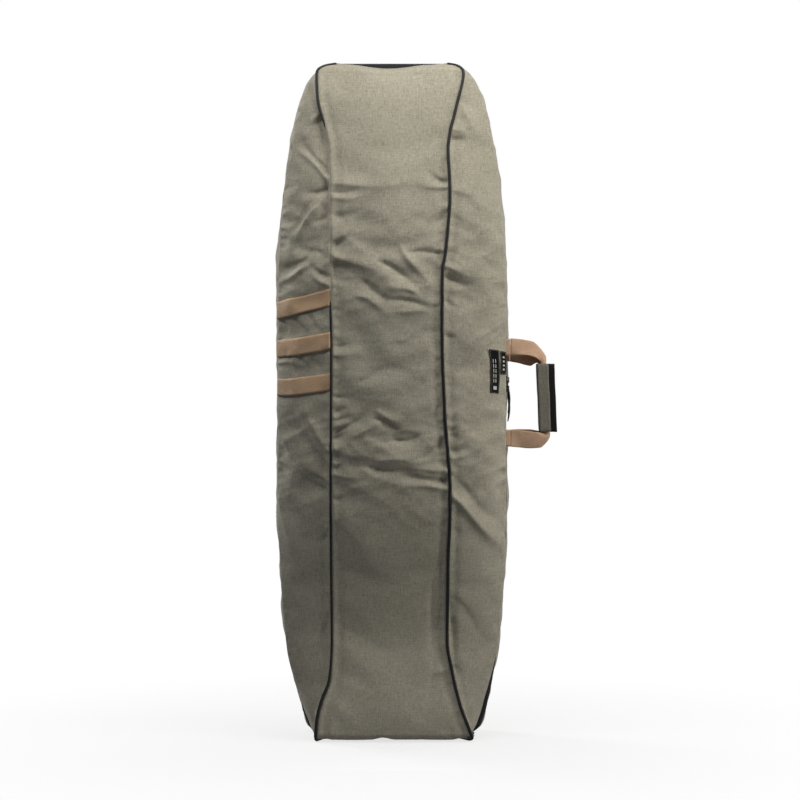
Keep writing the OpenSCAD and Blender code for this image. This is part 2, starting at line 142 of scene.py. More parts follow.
def outline_inward(points):
    """The direction into the bag at each point of a closed outline."""
    along = np.roll(points, -1, 0) - np.roll(points, 1, 0)
    inward = np.c_[-along[:, 1], along[:, 0]]
    return inward / np.linalg.norm(inward, axis=1)[:, None]


# ---- Meshes ----

WELD = 0.02


def at_depth(points, y):
    """Outline points (x, z) as places (x, y, z)."""
    return np.c_[points[:, 0], np.full(len(points), y), points[:, 1]]


def run_along(path):
    """The distance along a path at each of its points."""
    return np.r_[0, np.cumsum(np.linalg.norm(np.diff(path, axis=0), axis=1))]


def cloth_grid(u, v):
    """The cloth coordinates of a grid, from its columns' places and its rows' places."""
    return np.stack(np.broadcast_arrays(np.asarray(u)[None], np.asarray(v)[:, None]), -1)


def softened(grid, passes, axes=(0, 1)):
    """Softens a grid in place along its axes in turn, with its edges kept."""
    for _ in range(passes):
        for axis in axes:
            line = np.moveaxis(grid, axis, 0)
            line[1:-1] = (line[:-2] + 2 * line[1:-1] + line[2:]) / 4
    return grid


def grid_quads(rows, cols, start=0, flip=False, loop=False):
    k, j = np.meshgrid(np.arange(rows if loop else rows - 1), np.arange(cols - 1), indexing="ij")
    a = start + k * cols + j
    d = start + (k + 1) % rows * cols + j
    quads = np.stack([a, a + 1, d + 1, d], -1).reshape(-1, 4)
    return quads[:, ::-1] if flip else quads


def mesh_object(name, verts, faces, uv, weld=False, turn_out=False):
    """A smooth mesh from millimetres. weld joins coinciding points, and turn_out turns the faces out."""
    mesh = bpy.data.meshes.new(name)
    faces = faces if isinstance(faces, list) else faces.tolist()
    mesh.from_pydata((np.asarray(verts) * MM).tolist(), [], faces)
    layer = mesh.uv_layers.new(name="metres")
    corner = np.zeros(len(mesh.loops), int)
    mesh.loops.foreach_get("vertex_index", corner)
    layer.data.foreach_set("uv", (np.asarray(uv, float) * MM)[corner].ravel())
    if weld or turn_out:
        bm = bmesh.new()
        bm.from_mesh(mesh)
        if weld:
            bmesh.ops.remove_doubles(bm, verts=bm.verts, dist=WELD * MM)
            bmesh.ops.dissolve_degenerate(bm, edges=bm.edges, dist=WELD / 2 * MM)
        if turn_out:
            bmesh.ops.recalc_face_normals(bm, faces=bm.faces)
        bm.to_mesh(mesh)
        bm.free()
    mesh.polygons.foreach_set("use_smooth", [True] * len(mesh.polygons))
    obj = bpy.data.objects.new(name, mesh)
    bpy.context.scene.collection.objects.link(obj)
    return obj


def slab(name, outer, inner, uv, loop=False, weld=False):
    """A closed sheet between two grids. Rows run up, and columns to the right as seen from outside."""
    rows, cols = outer.shape[:2]
    back = rows * cols
    idx = np.arange(back).reshape(rows, cols)
    rims = [(idx[:, 0], True), (idx[:, -1], False)]
    if not loop:
        rims += [(idx[0], False), (idx[-1], True)]
    faces = [grid_quads(rows, cols, loop=loop), grid_quads(rows, cols, back, True, loop)]
    for rim, flip in rims:
        a, b = (rim, np.roll(rim, -1)) if loop else (rim[:-1], rim[1:])
        quads = np.stack([a, back + a, back + b, b], -1)
        faces.append(quads[:, ::-1] if flip else quads)
    verts = np.concatenate([outer.reshape(-1, 3), inner.reshape(-1, 3)])
    uv = uv.reshape(-1, 2)
    return mesh_object(name, verts, np.concatenate(faces), np.concatenate([uv, uv]), weld, turn_out=True)


def tube(name, path, radius, loop=False, sides=10, reference=(0, 1.0, 0)):
    """A round cord along a path, either closed or with flat ends. It never runs straight along the reference."""
    path = np.asarray(path, float)
    along = np.roll(path, -1, 0) - np.roll(path, 1, 0) if loop else np.gradient(path, axis=0)
    along /= np.linalg.norm(along, axis=1)[:, None]
    across = np.cross(along, reference)
    across /= np.linalg.norm(across, axis=1)[:, None]
    third = np.cross(across, along)
    radii = np.broadcast_to(radius, len(path))[:, None, None]
    a = np.linspace(0, 2 * math.pi, sides, endpoint=False)[None, :, None]
    ring = path[:, None] + radii * (np.cos(a) * across[:, None] + np.sin(a) * third[:, None])
    rows = len(path)
    k, j = np.meshgrid(np.arange(rows if loop else rows - 1), np.arange(sides), indexing="ij")
    p, q = k * sides, (k + 1) % rows * sides
    faces = np.stack([p + j, p + (j + 1) % sides, q + (j + 1) % sides, q + j], -1).reshape(-1, 4).tolist()
    if not loop:
        faces += [list(range(sides))[::-1], [(rows - 1) * sides + i for i in range(sides)]]
    uv = cloth_grid(np.arange(sides) * 2.0, run_along(path)).reshape(-1, 2)
    return mesh_object(name, ring.reshape(-1, 3), faces, uv, turn_out=True)


def merge(parts):
    """Joins a list of pieces into the first."""
    bm = bmesh.new()
    for part in parts:
        bm.from_mesh(part.data)
    bm.to_mesh(parts[0].data)
    bm.free()
    for part in parts[1:]:
        bpy.data.objects.remove(part)
    return parts[0]


def grid_normals(p):
    """The outward direction at each point of a grid, whose rows run up and columns to the right."""
    n = np.cross(np.gradient(p, axis=1), np.gradient(p, axis=0))
    n /= np.maximum(np.linalg.norm(n, axis=2, keepdims=True), 1e-9)
    n[0], n[-1] = n[1], n[-2]
    return n


def cloth_noise(points, scale, seed=0.0):
    """Smooth noise from -1 to 1 at each point, with features about scale millimetres long."""
    flat = points.reshape(-1, 3) / scale
    values = [noise.noise(Vector((x + seed, y + 2.3 * seed, z - seed))) for x, y, z in flat.tolist()]
    return np.array(values).reshape(points.shape[:-1])


# ---- The lid's surface ----

def lid_profile():
    """The lid's middle line, over the foot, up the front and over the top: arc length, depth and height."""
    a = np.linspace(0, math.pi / 2, 60)
    foot, foot_z = np.linspace(0, 1, 40)[:-1], np.linspace(0, SEAM_LIFT, 40)[:-1]
    top = np.linspace(1, 0, 20)[1:]
    front_z = np.linspace(SEAM_LIFT + FOOT_FOLD, BAG_H - SEAM_LIFT - TOP_FOLD, 1500)[1:-1]
    depth = np.r_[(FOOT_DEPTH - FOOT_FOLD) * foot, FOOT_DEPTH - FOOT_FOLD + FOOT_FOLD * np.sin(a),
                  BELLY * lookup(front_z, BELLY_SHAPE),
                  TOP_DEPTH - TOP_FOLD + TOP_FOLD * np.cos(a), (TOP_DEPTH - TOP_FOLD) * top]
    z = np.r_[foot_z, SEAM_LIFT + FOOT_FOLD * (1 - np.cos(a)), front_z,
              BAG_H - SEAM_LIFT - TOP_FOLD + TOP_FOLD * np.sin(a), BAG_H - SEAM_LIFT * top]
    s = np.r_[0, np.cumsum(np.hypot(np.diff(depth), np.diff(z)))]
    return s, depth, z


PROFILE_S, PROFILE_DEPTH, PROFILE_Z = lid_profile()
LID_LENGTH = PROFILE_S[-1]


def edge_height(s):
    """The height where the lid's row at arc length s meets the zip."""
    z = np.interp(s, PROFILE_S, PROFILE_Z)
    low, high = SEAM_LIFT + FOOT_FOLD, BAG_H - SEAM_LIFT - TOP_FOLD
    s_low, s_high = np.interp([low, high], PROFILE_Z, PROFILE_S)
    arc_low, arc_high = np.interp([low, high], SIDE_Z, SIDE_ARC)
    foot = np.interp(arc_low * s / s_low, SIDE_ARC, SIDE_Z)
    arc = arc_high + (SIDE_ARC[-1] - arc_high) * (s - s_high) / (LID_LENGTH - s_high)
    top = np.interp(arc, SIDE_ARC, SIDE_Z)
    return np.where(s < s_low, foot, np.where(s > s_high, top, z))


def bump(x, centre, reach):
    """1 at the centre, falling smoothly to 0 at reach on either side."""
    t = np.clip(np.abs(np.asarray(x) - centre) / reach, 0, 1)
    return (1 - t * t) ** 2


def edge_inset(x, z):
    """How far inside the outline the lid's edge lies. It pulls back from the zip at the top and the foot."""
    top = (5 * np.clip(1 - (x / 124) ** 4, 0, 1) + 7.5 * bump(x, -8, 85)) * (z > BAG_H - 60)
    right = 12 * bump(z, 45, 165) * np.clip((x - 130) / 60, 0, 1) * np.clip(z / 18, 0.2, 1)
    left = 6 * bump(z, 40, 50) * np.clip((-x - 130) / 60, 0, 1) * np.clip(z / 18, 0.2, 1)
    foot = 7 * bump(x, -20, 26) * (z < 12)
    return 0.8 + top + foot + np.where(z < 220, right + left, 0)


def lid_surface(s, c):
    """Points of the lid at arc lengths s and columns c: -2 and 2 are the zip, -1 and 1 the seams."""
    depth = np.interp(s, PROFILE_S, PROFILE_DEPTH)
    z = np.interp(s, PROFILE_S, PROFILE_Z)
    arc = np.where(z < SEAM_LIFT + FOOT_FOLD, z - FOOT_DEPTH + depth,
                   np.where(z > BAG_H - SEAM_LIFT - TOP_FOLD, z + TOP_DEPTH - depth, z))
    points = np.zeros((len(s), len(c), 3))
    seams = [-lookup(arc, LEFT_SEAM), lookup(arc, RIGHT_SEAM)]
    crown = CROWN * np.minimum(1, depth / BELLY)
    ez = edge_height(s)
    for j, col in enumerate(c):
        if abs(col) <= 1:
            t = (col + 1) / 2
            points[:, j, 0] = seams[0] * (1 - t) + seams[1] * t
            points[:, j, 1] = LID_Y - depth - crown * (1 - col * col)
            points[:, j, 2] = z
        else:
            side = 1 if col > 0 else -1
            t = abs(col) - 1
            a = np.stack([seams[0] if side < 0 else seams[1], LID_Y - depth, z], -1)
            b = np.stack([side * half_width(ez) + lean(ez), np.full_like(z, LID_Y), ez], -1)
            inset = edge_inset(b[:, 0], b[:, 2])
            b[:, 0] -= side * inset
            middle = (a + b) / 2
            corner = np.stack([b[:, 0], a[:, 1], middle[:, 2]], -1)
            control = middle + FULLNESS * (corner - middle)
            points[:, j] = (1 - t) ** 2 * a + 2 * t * (1 - t) * control + t * t * b
    drop = edge_inset(points[..., 0], points[..., 2]) * (points[..., 2] > BAG_H - 40)
    rise = edge_inset(points[..., 0], points[..., 2]) * 0.5 * (points[..., 2] < 12)
    points[..., 2] += rise - drop * np.clip((points[..., 2] - (BAG_H - 40)) / 40, 0, 1)
    return points


# Folds of the lid, seen from the front: x and z of the sharp end, x and z of the end where it fades, the half
# width and how far the fold stands out, which is negative for a crease.
CENTRE_FOLDS = [
    (-134, 1084, -20, 1036, 14, 5.5), (-136, 1062, -86, 1054, 11, -5.5), (-134, 1102, -36, 1172, 17, -4),
    (-134, 1122, -60, 1142, 14, 2.5), (124, 1200, 14, 1088, 22, 4), (98, 1089, 16, 1086, 9, -5.5),
    (28, 1086, 86, 1008, 12, 5.5), (-12, 1058, 66, 1016, 13, -6.5), (46, 998, -18, 1018, 13, 4.5),
    (-56, 1016, 8, 974, 12, -5.5), (-66, 984, 8, 952, 15, 3.5), (14, 982, 98, 967, 10, -4.5),
    (30, 958, 104, 952, 13, 3), (128, 1240, 80, 1266, 9, -5), (128, 1230, 58, 1240, 10, 4.5),
    (-136, 1238, 60, 1241, 16, 3.5), (-136, 1221, -66, 1228, 9, -3), (-136, 1206, -40, 1218, 13, 3.5),
    (-136, 1168, -50, 1186, 15, -3), (-134, 884, -84, 880, 9, -2.5), (-134, 864, -60, 860, 13, 2.5),
    (-134, 770, -88, 764, 7, -3), (-134, 742, -96, 738, 7, -2.5), (-134, 718, -90, 721, 8, -3),
    (-128, 682, -44, 742, 13, -5.5), (-64, 688, -14, 724, 8, 4), (-30, 716, 26, 692, 9, -6),
    (-28, 731, 28, 708, 9, 4), (8, 670, 68, 680, 10, -5.5), (14, 690, 80, 694, 9, 3),
    (-136, 650, -40, 636, 18, 5.5), (-136, 672, -96, 692, 8, -4.5), (68, 636, 120, 672, 10, -4.5),
    (-34, 612, 56, 600, 11, -8), (-24, 630, 54, 624, 10, 3.5), (122, 586, 16, 590, 10, -6.5),
    (122, 606, 34, 608, 9, 3.5), (124, 566, 4, 572, 12, 4.5), (-136, 612, -106, 619, 7, -4),
    (-136, 596, -60, 588, 10, 3.5), (-60, 812, 40, 838, 22, -2.5), (20, 900, 104, 930, 24, 2),
    (-132, 520, -30, 372, 36, 3.5), (130, 165, 88, 146, 8, 2), (92, 320, 84, 90, 15, -3),
]
RIGHT_FOLDS = [
    (127, 1352, 168, 1335, 10, -5.5), (127, 1370, 164, 1354, 10, 4), (114, 1034, 182, 1014, 10, -6),
    (114, 1054, 190, 1034, 12, 4.5), (116, 1088, 192, 1116, 18, -4), (140, 1222, 236, 1184, 26, 4.5),
    (118, 1180, 160, 1150, 10, -3), (116, 716, 144, 724, 7, -3.5), (116, 700, 146, 694, 7, -3.5),
    (120, 682, 152, 679, 7, -3.5), (126, 650, 182, 664, 10, -5.5), (126, 634, 188, 642, 10, 4),
    (132, 544, 254, 424, 12, 7), (160, 560, 256, 480, 22, -4.5), (260, 604, 228, 588, 9, -6.5),
    (260, 570, 234, 560, 7, -5), (260, 585, 232, 574, 7, 3.5), (246, 905, 132, 806, 15, -4.5),
    (250, 940, 136, 846, 17, 3.5), (150, 300, 230, 210, 22, -2.5), (160, 1400, 215, 1330, 18, 3),
    (114, 980, 154, 965, 8, -3.5), (114, 900, 150, 905, 8, -3), (122, 470, 150, 478, 7, -2.5),
    (128, 350, 138, 120, 12, -3.5), (128, 168, 150, 160, 7, -3),
]
LEFT_FOLDS = [
    (-144, 1250, -212, 1330, 10, 6), (-142, 1262, -200, 1340, 8, -5.5), (-154, 1400, -196, 1350, 10, -5.5),
    (-168, 1392, -204, 1340, 9, 4), (-152, 1440, -154, 1240, 18, -8), (-148, 1250, -150, 1110, 11, -5),
    (-172, 1186, -216, 1108, 8, 6.5), (-186, 1192, -232, 1126, 9, -5), (-140, 1236, -190, 1216, 9, -5.5),
    (-140, 1180, -176, 1150, 10, -4), (-194, 1054, -254, 1018, 9, 5.5), (-200, 1074, -256, 1044, 10, -5.5),
    (-140, 1012, -184, 1046, 9, 5), (-140, 1034, -192, 1066, 9, -5.5), (-160, 1084, -212, 1104, 17, -4.5),
    (-258, 1130, -230, 1112, 8, -4.5), (-258, 1150, -228, 1140, 8, 3.5), (-140, 606, -246, 758, 13, -6),
    (-138, 650, -220, 768, 13, 4.5), (-142, 552, -210, 600, 14, -5), (-142, 580, -196, 622, 10, 3.5),
    (-264, 622, -228, 604, 9, -5.5), (-256, 844, -176, 838, 10, 3.5), (-236, 862, -214, 818, 7, -4),
    (-204, 856, -180, 820, 7, -4), (-176, 850, -154, 822, 7, -3), (-246, 936, -228, 903, 7, -4),
    (-214, 940, -196, 910, 7, -4), (-182, 944, -162, 914, 7, -3.5), (-240, 520, -214, 330, 22, 4),
    (-256, 700, -200, 560, 14, 3), (-138, 300, -170, 160, 18, -3), (-140, 470, -166, 440, 9, -2.5),
]
FOLD_GAIN = 1.45


def fold_field(x, z, folds):
    """The folds' height at each point. A fold is steep on its lower side, and a crease on its upper side."""
    height = np.zeros_like(x)
    for x0, z0, x1, z1, width, rise in folds:
        dx, dz = x1 - x0, z1 - z0
        length = math.hypot(dx, dz)
        along = ((x - x0) * dx + (z - z0) * dz) / length
        wander = width * 0.3 * np.sin(along / length * 5 + x0 * 0.7)
        across = (-(x - x0) * dz + (z - z0) * dx) / length + wander
        t = along / length
        ends = 1 / (1 + np.exp(-(t + 0.12) * 16)) / (1 + np.exp((t - 0.82) * 8))
        gentle = across * np.sign(dx) * np.sign(rise) > 0
        spread = np.maximum(width * (0.45 + 0.95 * np.clip(t, 0, 1.2)) * np.where(gentle, 1.45, 0.62), 4.6)
        height += FOLD_GAIN * rise * ends * np.exp(-((across / spread) ** 2 + 0.03) ** 0.72)
    return height


def resized(grid, old_rows, rows, old_cols, cols):
    """A grid of vectors read at new row and column places, then softened."""
    for old, new in ((old_cols, cols), (old_rows, rows)):
        grid = np.stack([[np.interp(new, old, line[:, a]) for line in grid] for a in range(3)], -1)
        grid = np.moveaxis(grid, 1, 0)
    return softened(grid, 2, (0,))


def drape(points, pinned, cap, pressure, slack, frames=16):
    """Lets a grid of cloth swell and buckle between its pinned points. Returns how far each point moved."""
    rows, cols = points.shape[:2]
    obj = mesh_object("drape", points.reshape(-1, 3), grid_quads(rows, cols), np.zeros((rows * cols, 2)))
    group = obj.vertex_groups.new(name="pinned")
    group.add(np.flatnonzero(pinned.ravel()).tolist(), 1.0, "REPLACE")
    cloth = obj.modifiers.new("cloth", "CLOTH")
    rules = cloth.settings
    rules.quality = 5
    rules.mass = 0.25
    rules.tension_stiffness = rules.compression_stiffness = 12
    rules.shear_stiffness = 4
    rules.bending_stiffness = 6
    rules.shrink_min = rules.shrink_max = -slack
    rules.use_pressure = True
    rules.uniform_pressure_force = pressure
    rules.vertex_group_mass = "pinned"
    rules.effector_weights.gravity = 0.1
    cloth.collision_settings.use_collision = False
    cloth.point_cache.frame_end = frames
    scene = bpy.context.scene
    for f in range(1, frames + 1):
        scene.frame_set(f)
    made = obj.evaluated_get(bpy.context.evaluated_depsgraph_get()).to_mesh()
    moved = np.zeros(rows * cols * 3)
    made.vertices.foreach_get("co", moved)
    move = moved.reshape(rows, cols, 3) / MM - points
    scene.frame_set(1)
    bpy.data.objects.remove(obj)
    length = np.linalg.norm(move, axis=2, keepdims=True)
    return move * np.minimum(1, cap / np.maximum(length, 1e-6))


# Columns of a side panel, columns of the middle panel and rows: of the finished lid, and of the draped cloth.
LID_GRID, DRAPE_GRID = (47, 89, 561), (18, 34, 201)


def lid_places(side_count, centre_count, rows):
    """The columns of a grid over the lid, and the arc lengths of its rows."""
    side = np.linspace(1, 2, side_count)
    return np.r_[-side[::-1], np.linspace(-1, 1, centre_count)[1:-1], side], np.linspace(0, LID_LENGTH, rows)


def streaks(x, z, angle, scale, seed):
    """Creases from -0.7 to 0.3, much longer than wide, that run at an angle up from the horizontal."""
    along = x * math.cos(angle) + z * math.sin(angle)
    across = z * math.cos(angle) - x * math.sin(angle)
    return 0.3 - np.abs(cloth_noise(np.stack([along * 0.38, along * 0, across], -1), scale, seed))


def crumpled(x, z, c):
    """How crumpled the cloth is, from 0 to 1: most above and below the grip, and all along the left side."""
    front = np.maximum(bump(z, 1050, 190), np.maximum(bump(z, 640, 200), 0.4 * bump(z, 850, 260)))
    return 0.12 + 0.88 * np.where(c < -1, np.maximum(front, 0.9 * bump(z, 1040, 430)), front)


def lowest(height, reach):
    """The lowest value within some cells of each place of a grid."""
    for axis in (0, 1):
        wide = np.pad(height, [(reach, reach) if a == axis else (0, 0) for a in (0, 1)], mode="edge")
        n = height.shape[axis]
        height = np.min([np.take(wide, np.arange(k, k + n), axis) for k in range(2 * reach + 1)], axis=0)
    return height


def build_lid():
    """The lid's surface, the smoother one that its padding follows, its columns and its cloth coordinates."""
    fine_c, fine_s = lid_places(*LID_GRID)
    points = lid_surface(fine_s, fine_c)
    normals = grid_normals(points)
    crumple = crumpled(points[..., 0], points[..., 2], fine_c)
    coarse_c, coarse_s = lid_places(*DRAPE_GRID)
    base = lid_surface(coarse_s, coarse_c)
    pinned = np.zeros(base.shape[:2], bool)
    pinned[[0, 1, -2, -1]] = True
    for col in (-2, -1, 1, 2):
        pinned[:, np.argmin(abs(coarse_c - col))] = True
    move = drape(base, pinned, cap=12, pressure=0.8, slack=0.012)
    move = resized(move, coarse_s, fine_s, coarse_c, fine_c)
    points = points + (0.25 + 0.75 * crumple[..., None]) * move
    x, z = points[..., 0], points[..., 2]
    c = np.broadcast_to(fine_c, x.shape)
    height = np.zeros_like(x)
    for panel, folds in ((abs(c) <= 1, CENTRE_FOLDS), (c > 1, RIGHT_FOLDS), (c < -1, LEFT_FOLDS)):
        height += np.where(panel, fold_field(x, z, folds), 0)
    # The cloth puckers along the seams and the zip. A seam's allowance stands up beside it as a low ridge.
    step = np.linalg.norm(np.diff(points, axis=1), axis=2)
    across = np.concatenate([np.zeros((len(fine_s), 1)), np.cumsum(step, axis=1)], axis=1)
    hold = np.ones_like(x)
    for col, ridge in ((-2, 0), (-1, 1), (1, 1), (2, 0)):
        j = np.argmin(abs(fine_c - col))
        away = np.abs(across - across[:, j:j + 1])
        hold = hold * (1 - np.exp(-(away / 5) ** 2) * (0.8 if ridge else 1))
        pucker = cloth_noise(np.stack([z, z * 0, c * 3 + col * 40], -1), 13, 3.1 * col)
        pucker = pucker + 0.6 * cloth_noise(np.stack([z, z * 0, c * 2 + col * 70], -1), 31, 1.3 * col)
        near = np.exp(-((away - 7) / 9) ** 2)
        height += (1.2 + 2.2 * crumple) * pucker * near * (1 - np.exp(-(away / 3) ** 2))
        height += ridge * (1.5 * np.exp(-((away - 5) / 3.5) ** 2) - 2.2 * np.exp(-((away - 17) / 9) ** 2))
    height = height * hold
    height += 1.3 * cloth_noise(points, 90, 1.7)
    for share, angle, scale, seed in ((4.2, 33, 38, 5.2), (3.6, -27, 34, 9.4), (1.6, 12, 17, 3.1)):
        height += share * crumple * streaks(x, z, math.radians(angle), scale, seed) * hold
    ends = np.clip(np.minimum(fine_s, LID_LENGTH - fine_s) / 60, 0, 1)[:, None]
    core = points + normals * (softened(lowest(height, 6), 12) * ends)[..., None]
    points = points + normals * (height * ends)[..., None]
    for grid in (points, core):
        grid[..., 2] = np.maximum(grid[..., 2], 0.3)
    u = across - across[:, [len(fine_c) // 2]]
    uv = np.stack([u, np.broadcast_to(fine_s[:, None], u.shape)], -1)
    return points, core, fine_c, uv


# ---- Materials ----

def srgb(r, g, b):
    def linear(v):
        v /= 255
        return v / 12.92 if v <= 0.04045 else ((v + 0.055) / 1.055) ** 2.4
    return (linear(r), linear(g), linear(b), 1)


class Nodes:
    """A material's node tree, with short ways to add what the cloth materials share."""

    def __init__(self, name, uv=True, **shader):
        self.material = bpy.data.materials.new(name)
        self.material.use_nodes = True
        self.tree = self.material.node_tree
        self.shader = self.tree.nodes["Principled BSDF"]
        for key, value in shader.items():
            self.shader.inputs[key.replace("_", " ")].default_value = value
        coords = self.tree.nodes.new("ShaderNodeUVMap" if uv else "ShaderNodeTexCoord")
        if uv:
            coords.uv_map = "metres"
        self.place = coords.outputs["UV" if uv else "Object"]
        split = self.tree.nodes.new("ShaderNodeSeparateXYZ")
        self.link(self.place, split.inputs[0])
        self.u, self.v = split.outputs[0], split.outputs[1]

    def link(self, a, b):
        self.tree.links.new(a, b)

    def put(self, value, socket):
        """Links an output to a socket, or gives the socket a constant."""
        if hasattr(value, "is_linked"):
            self.link(value, socket)
        else:
            socket.default_value = value

    def math(self, operation, *values):
        node = self.tree.nodes.new("ShaderNodeMath")
        node.operation = operation
        for value, socket in zip(values, node.inputs):
            self.put(value, socket)
        return node.outputs[0]

    def plus(self, a, b):
        return self.math("ADD", a, b)

    def times(self, a, b):
        return self.math("MULTIPLY", a, b)

    def noise(self, scale, stretch=(1, 1, 1), detail=2.0, roughness=0.5):
        mapping = self.tree.nodes.new("ShaderNodeMapping")
        mapping.inputs["Scale"].default_value = stretch
        self.link(self.place, mapping.inputs["Vector"])
        node = self.tree.nodes.new("ShaderNodeTexNoise")
        node.inputs["Scale"].default_value = scale
        node.inputs["Detail"].default_value = detail
        node.inputs["Roughness"].default_value = roughness
        self.link(mapping.outputs[0], node.inputs["Vector"])
        return node.outputs["Fac"]

    def ramp(self, value, *stops):
        node = self.tree.nodes.new("ShaderNodeValToRGB")
        ramp = node.color_ramp
        while len(ramp.elements) < len(stops):
            ramp.elements.new(0.5)
        for element, (place, colour) in zip(ramp.elements, stops):
            element.position, element.color = place, colour
        self.link(value, node.inputs[0])
        return node.outputs[0]

    def mix(self, factor, a, b):
        node = self.tree.nodes.new("ShaderNodeMix")
        node.data_type = "RGBA"
        for value, place in ((factor, 0), (a, 6), (b, 7)):
            self.put(value, node.inputs[place])
        return node.outputs[2]

    def threads(self, period, value=None):
        """A wave from -1 to 1 along u, or along another value."""
        return self.math("SINE", self.times(value or self.u, 2 * math.pi / (period * MM)))

    def bump(self, height, distance, strength=1.0):
        node = self.tree.nodes.new("ShaderNodeBump")
        node.inputs["Distance"].default_value = distance * MM
        node.inputs["Strength"].default_value = strength
        self.link(height, node.inputs["Height"])
        self.link(node.outputs[0], self.shader.inputs["Normal"])

    def colour(self, value):
        self.link(value, self.shader.inputs["Base Color"])
        return self.material

    def paint(self, value, dark, light, low=0.3, high=0.75):
        """Colours the surface from dark to light as a value rises from low to high."""
        return self.colour(self.ramp(value, (low, srgb(*dark)), (high, srgb(*light))))


def heather(name, light, dark):
    """Melange polyester: two colours of yarn in short streaks both ways, in a plain weave."""
    n = Nodes(name, Roughness=0.8, Sheen_Weight=0.3, Sheen_Roughness=0.35, Specular_IOR_Level=0.3)
    warp = n.noise(1, (900, 110, 900), 3, 0.6)
    yarn = n.times(warp, 0.3)
    for stretch, share in (((130, 900, 130), 0.22), ((420, 34, 420), 0.18), ((40, 420, 40), 0.18)):
        yarn = n.plus(yarn, n.times(n.noise(1, stretch, 3, 0.6), share))
    yarn = n.plus(yarn, n.times(n.noise(1500, detail=1), 0.12))
    yarn = n.plus(yarn, n.times(n.math("SUBTRACT", n.noise(7), 0.5), 0.1))
    weave = n.times(n.threads(1.3), n.threads(1.3, n.v))
    n.bump(n.plus(weave, n.times(warp, 1.5)), 0.14, 0.6)
    return n.paint(yarn, dark, light, 0.38, 0.62)


def webbing(name, light, dark):
    """Ribbed webbing: u runs across it and v along it."""
    n = Nodes(name, Roughness=0.7, Sheen_Weight=0.25, Sheen_Roughness=0.4, Specular_IOR_Level=0.3)
    rib = n.threads(1.5, n.plus(n.v, n.times(n.math("ABSOLUTE", n.threads(5)), 0.0003)))
    warp = n.noise(1, (900, 60, 900), 2)
    broad = n.noise(14, detail=2)
    shade = n.plus(n.times(rib, 0.12), n.times(warp, 0.6))
    shade = n.plus(shade, n.times(broad, 0.4))
    n.bump(n.plus(rib, warp), 0.12, 0.7)
    return n.paint(shade, dark, light, high=0.7)


def lining_cloth():
    n = Nodes("lining_cloth", Roughness=0.6, Sheen_Weight=0.15, Specular_IOR_Level=0.35)
    grid = n.math("MAXIMUM", n.math("POWER", n.math("ABSOLUTE", n.threads(12)), 30),
                  n.math("POWER", n.math("ABSOLUTE", n.threads(12, n.v)), 30))
    shade = n.plus(n.times(n.noise(1, (700, 90, 700)), 0.7), n.times(grid, 0.25))
    n.bump(n.plus(grid, n.times(n.threads(0.9), 0.3)), 0.12)
    return n.paint(shade, (72, 72, 76), (122, 122, 127), high=0.85)


def foam_cells():
    n = Nodes("foam_cells", Roughness=0.95, Specular_IOR_Level=0.1)
    cells = n.noise(1500, detail=2)
    n.bump(cells, 0.3)
    return n.paint(cells, (196, 192, 178), (232, 229, 218), high=0.7)


def piping_cord():
    n = Nodes("piping_cord", Roughness=0.5, Sheen_Weight=0.05, Specular_IOR_Level=0.4)
    twist = n.threads(3, n.plus(n.v, n.times(n.u, 0.4)))
    n.bump(n.plus(twist, n.noise(900)), 0.12, 0.6)
    return n.paint(n.noise(400, detail=3), (14, 14, 15), (34, 34, 36))


def zip_cloth():
    n = Nodes("zip_cloth", Roughness=0.75, Sheen_Weight=0.12, Specular_IOR_Level=0.25)
    n.bump(n.plus(n.threads(1.1), n.noise(1200)), 0.14, 0.7)
    return n.paint(n.noise(500, detail=3), (15, 15, 16), (38, 38, 40))


def nylon_teeth():
    n = Nodes("nylon_teeth", Roughness=0.38, Specular_IOR_Level=0.5)
    n.bump(n.noise(700, detail=2), 0.05)
    return n.paint(n.noise(300), (20, 20, 21), (44, 44, 46))


def enamel():
    n = Nodes("slider_enamel", uv=False, Roughness=0.42, Metallic=0.3, Specular_IOR_Level=0.5,
              Coat_Weight=0.2)
    wear = n.noise(420, detail=4, roughness=0.7)
    n.bump(wear, 0.05, 0.5)
    stops = (0.35, srgb(24, 24, 26)), (0.66, srgb(44, 44, 46)), (0.85, srgb(96, 94, 91))
    return n.colour(n.ramp(wear, *stops))


def moulded():
    n = Nodes("moulded_cord", uv=False, Roughness=0.5, Specular_IOR_Level=0.4)
    grain = n.noise(900, detail=2)
    n.bump(grain, 0.12, 0.8)
    return n.paint(grain, (18, 18, 19), (40, 40, 42))


def label_cloth(name, width, length, marks):
    """A woven label with a plain border and plain pale marks, each a rectangle from (u0, v0) to (u1, v1)."""
    n = Nodes(name, Roughness=0.75, Specular_IOR_Level=0.15)
    n.bump(n.times(n.threads(0.7), n.threads(0.7, n.v)), 0.1)
    base = n.ramp(n.noise(800), (0.3, srgb(7, 7, 8)), (0.75, srgb(19, 19, 20)))

    def rectangle(u0, v0, u1, v1):
        left, right = n.math("GREATER_THAN", n.u, u0 * MM), n.math("LESS_THAN", n.u, u1 * MM)
        bottom, top = n.math("GREATER_THAN", n.v, v0 * MM), n.math("LESS_THAN", n.v, v1 * MM)
        return n.times(n.times(n.times(left, right), bottom), top)

    outer, inner = (rectangle(edge, edge, width - edge, length - edge) for edge in (1.3, 1.9))
    border = n.math("SUBTRACT", outer, inner)
    total = n.times(border, 0.25)
    for mark in marks:
        total = n.math("MAXIMUM", total, rectangle(*mark))
    return n.colour(n.mix(total, base, srgb(214, 212, 205)))


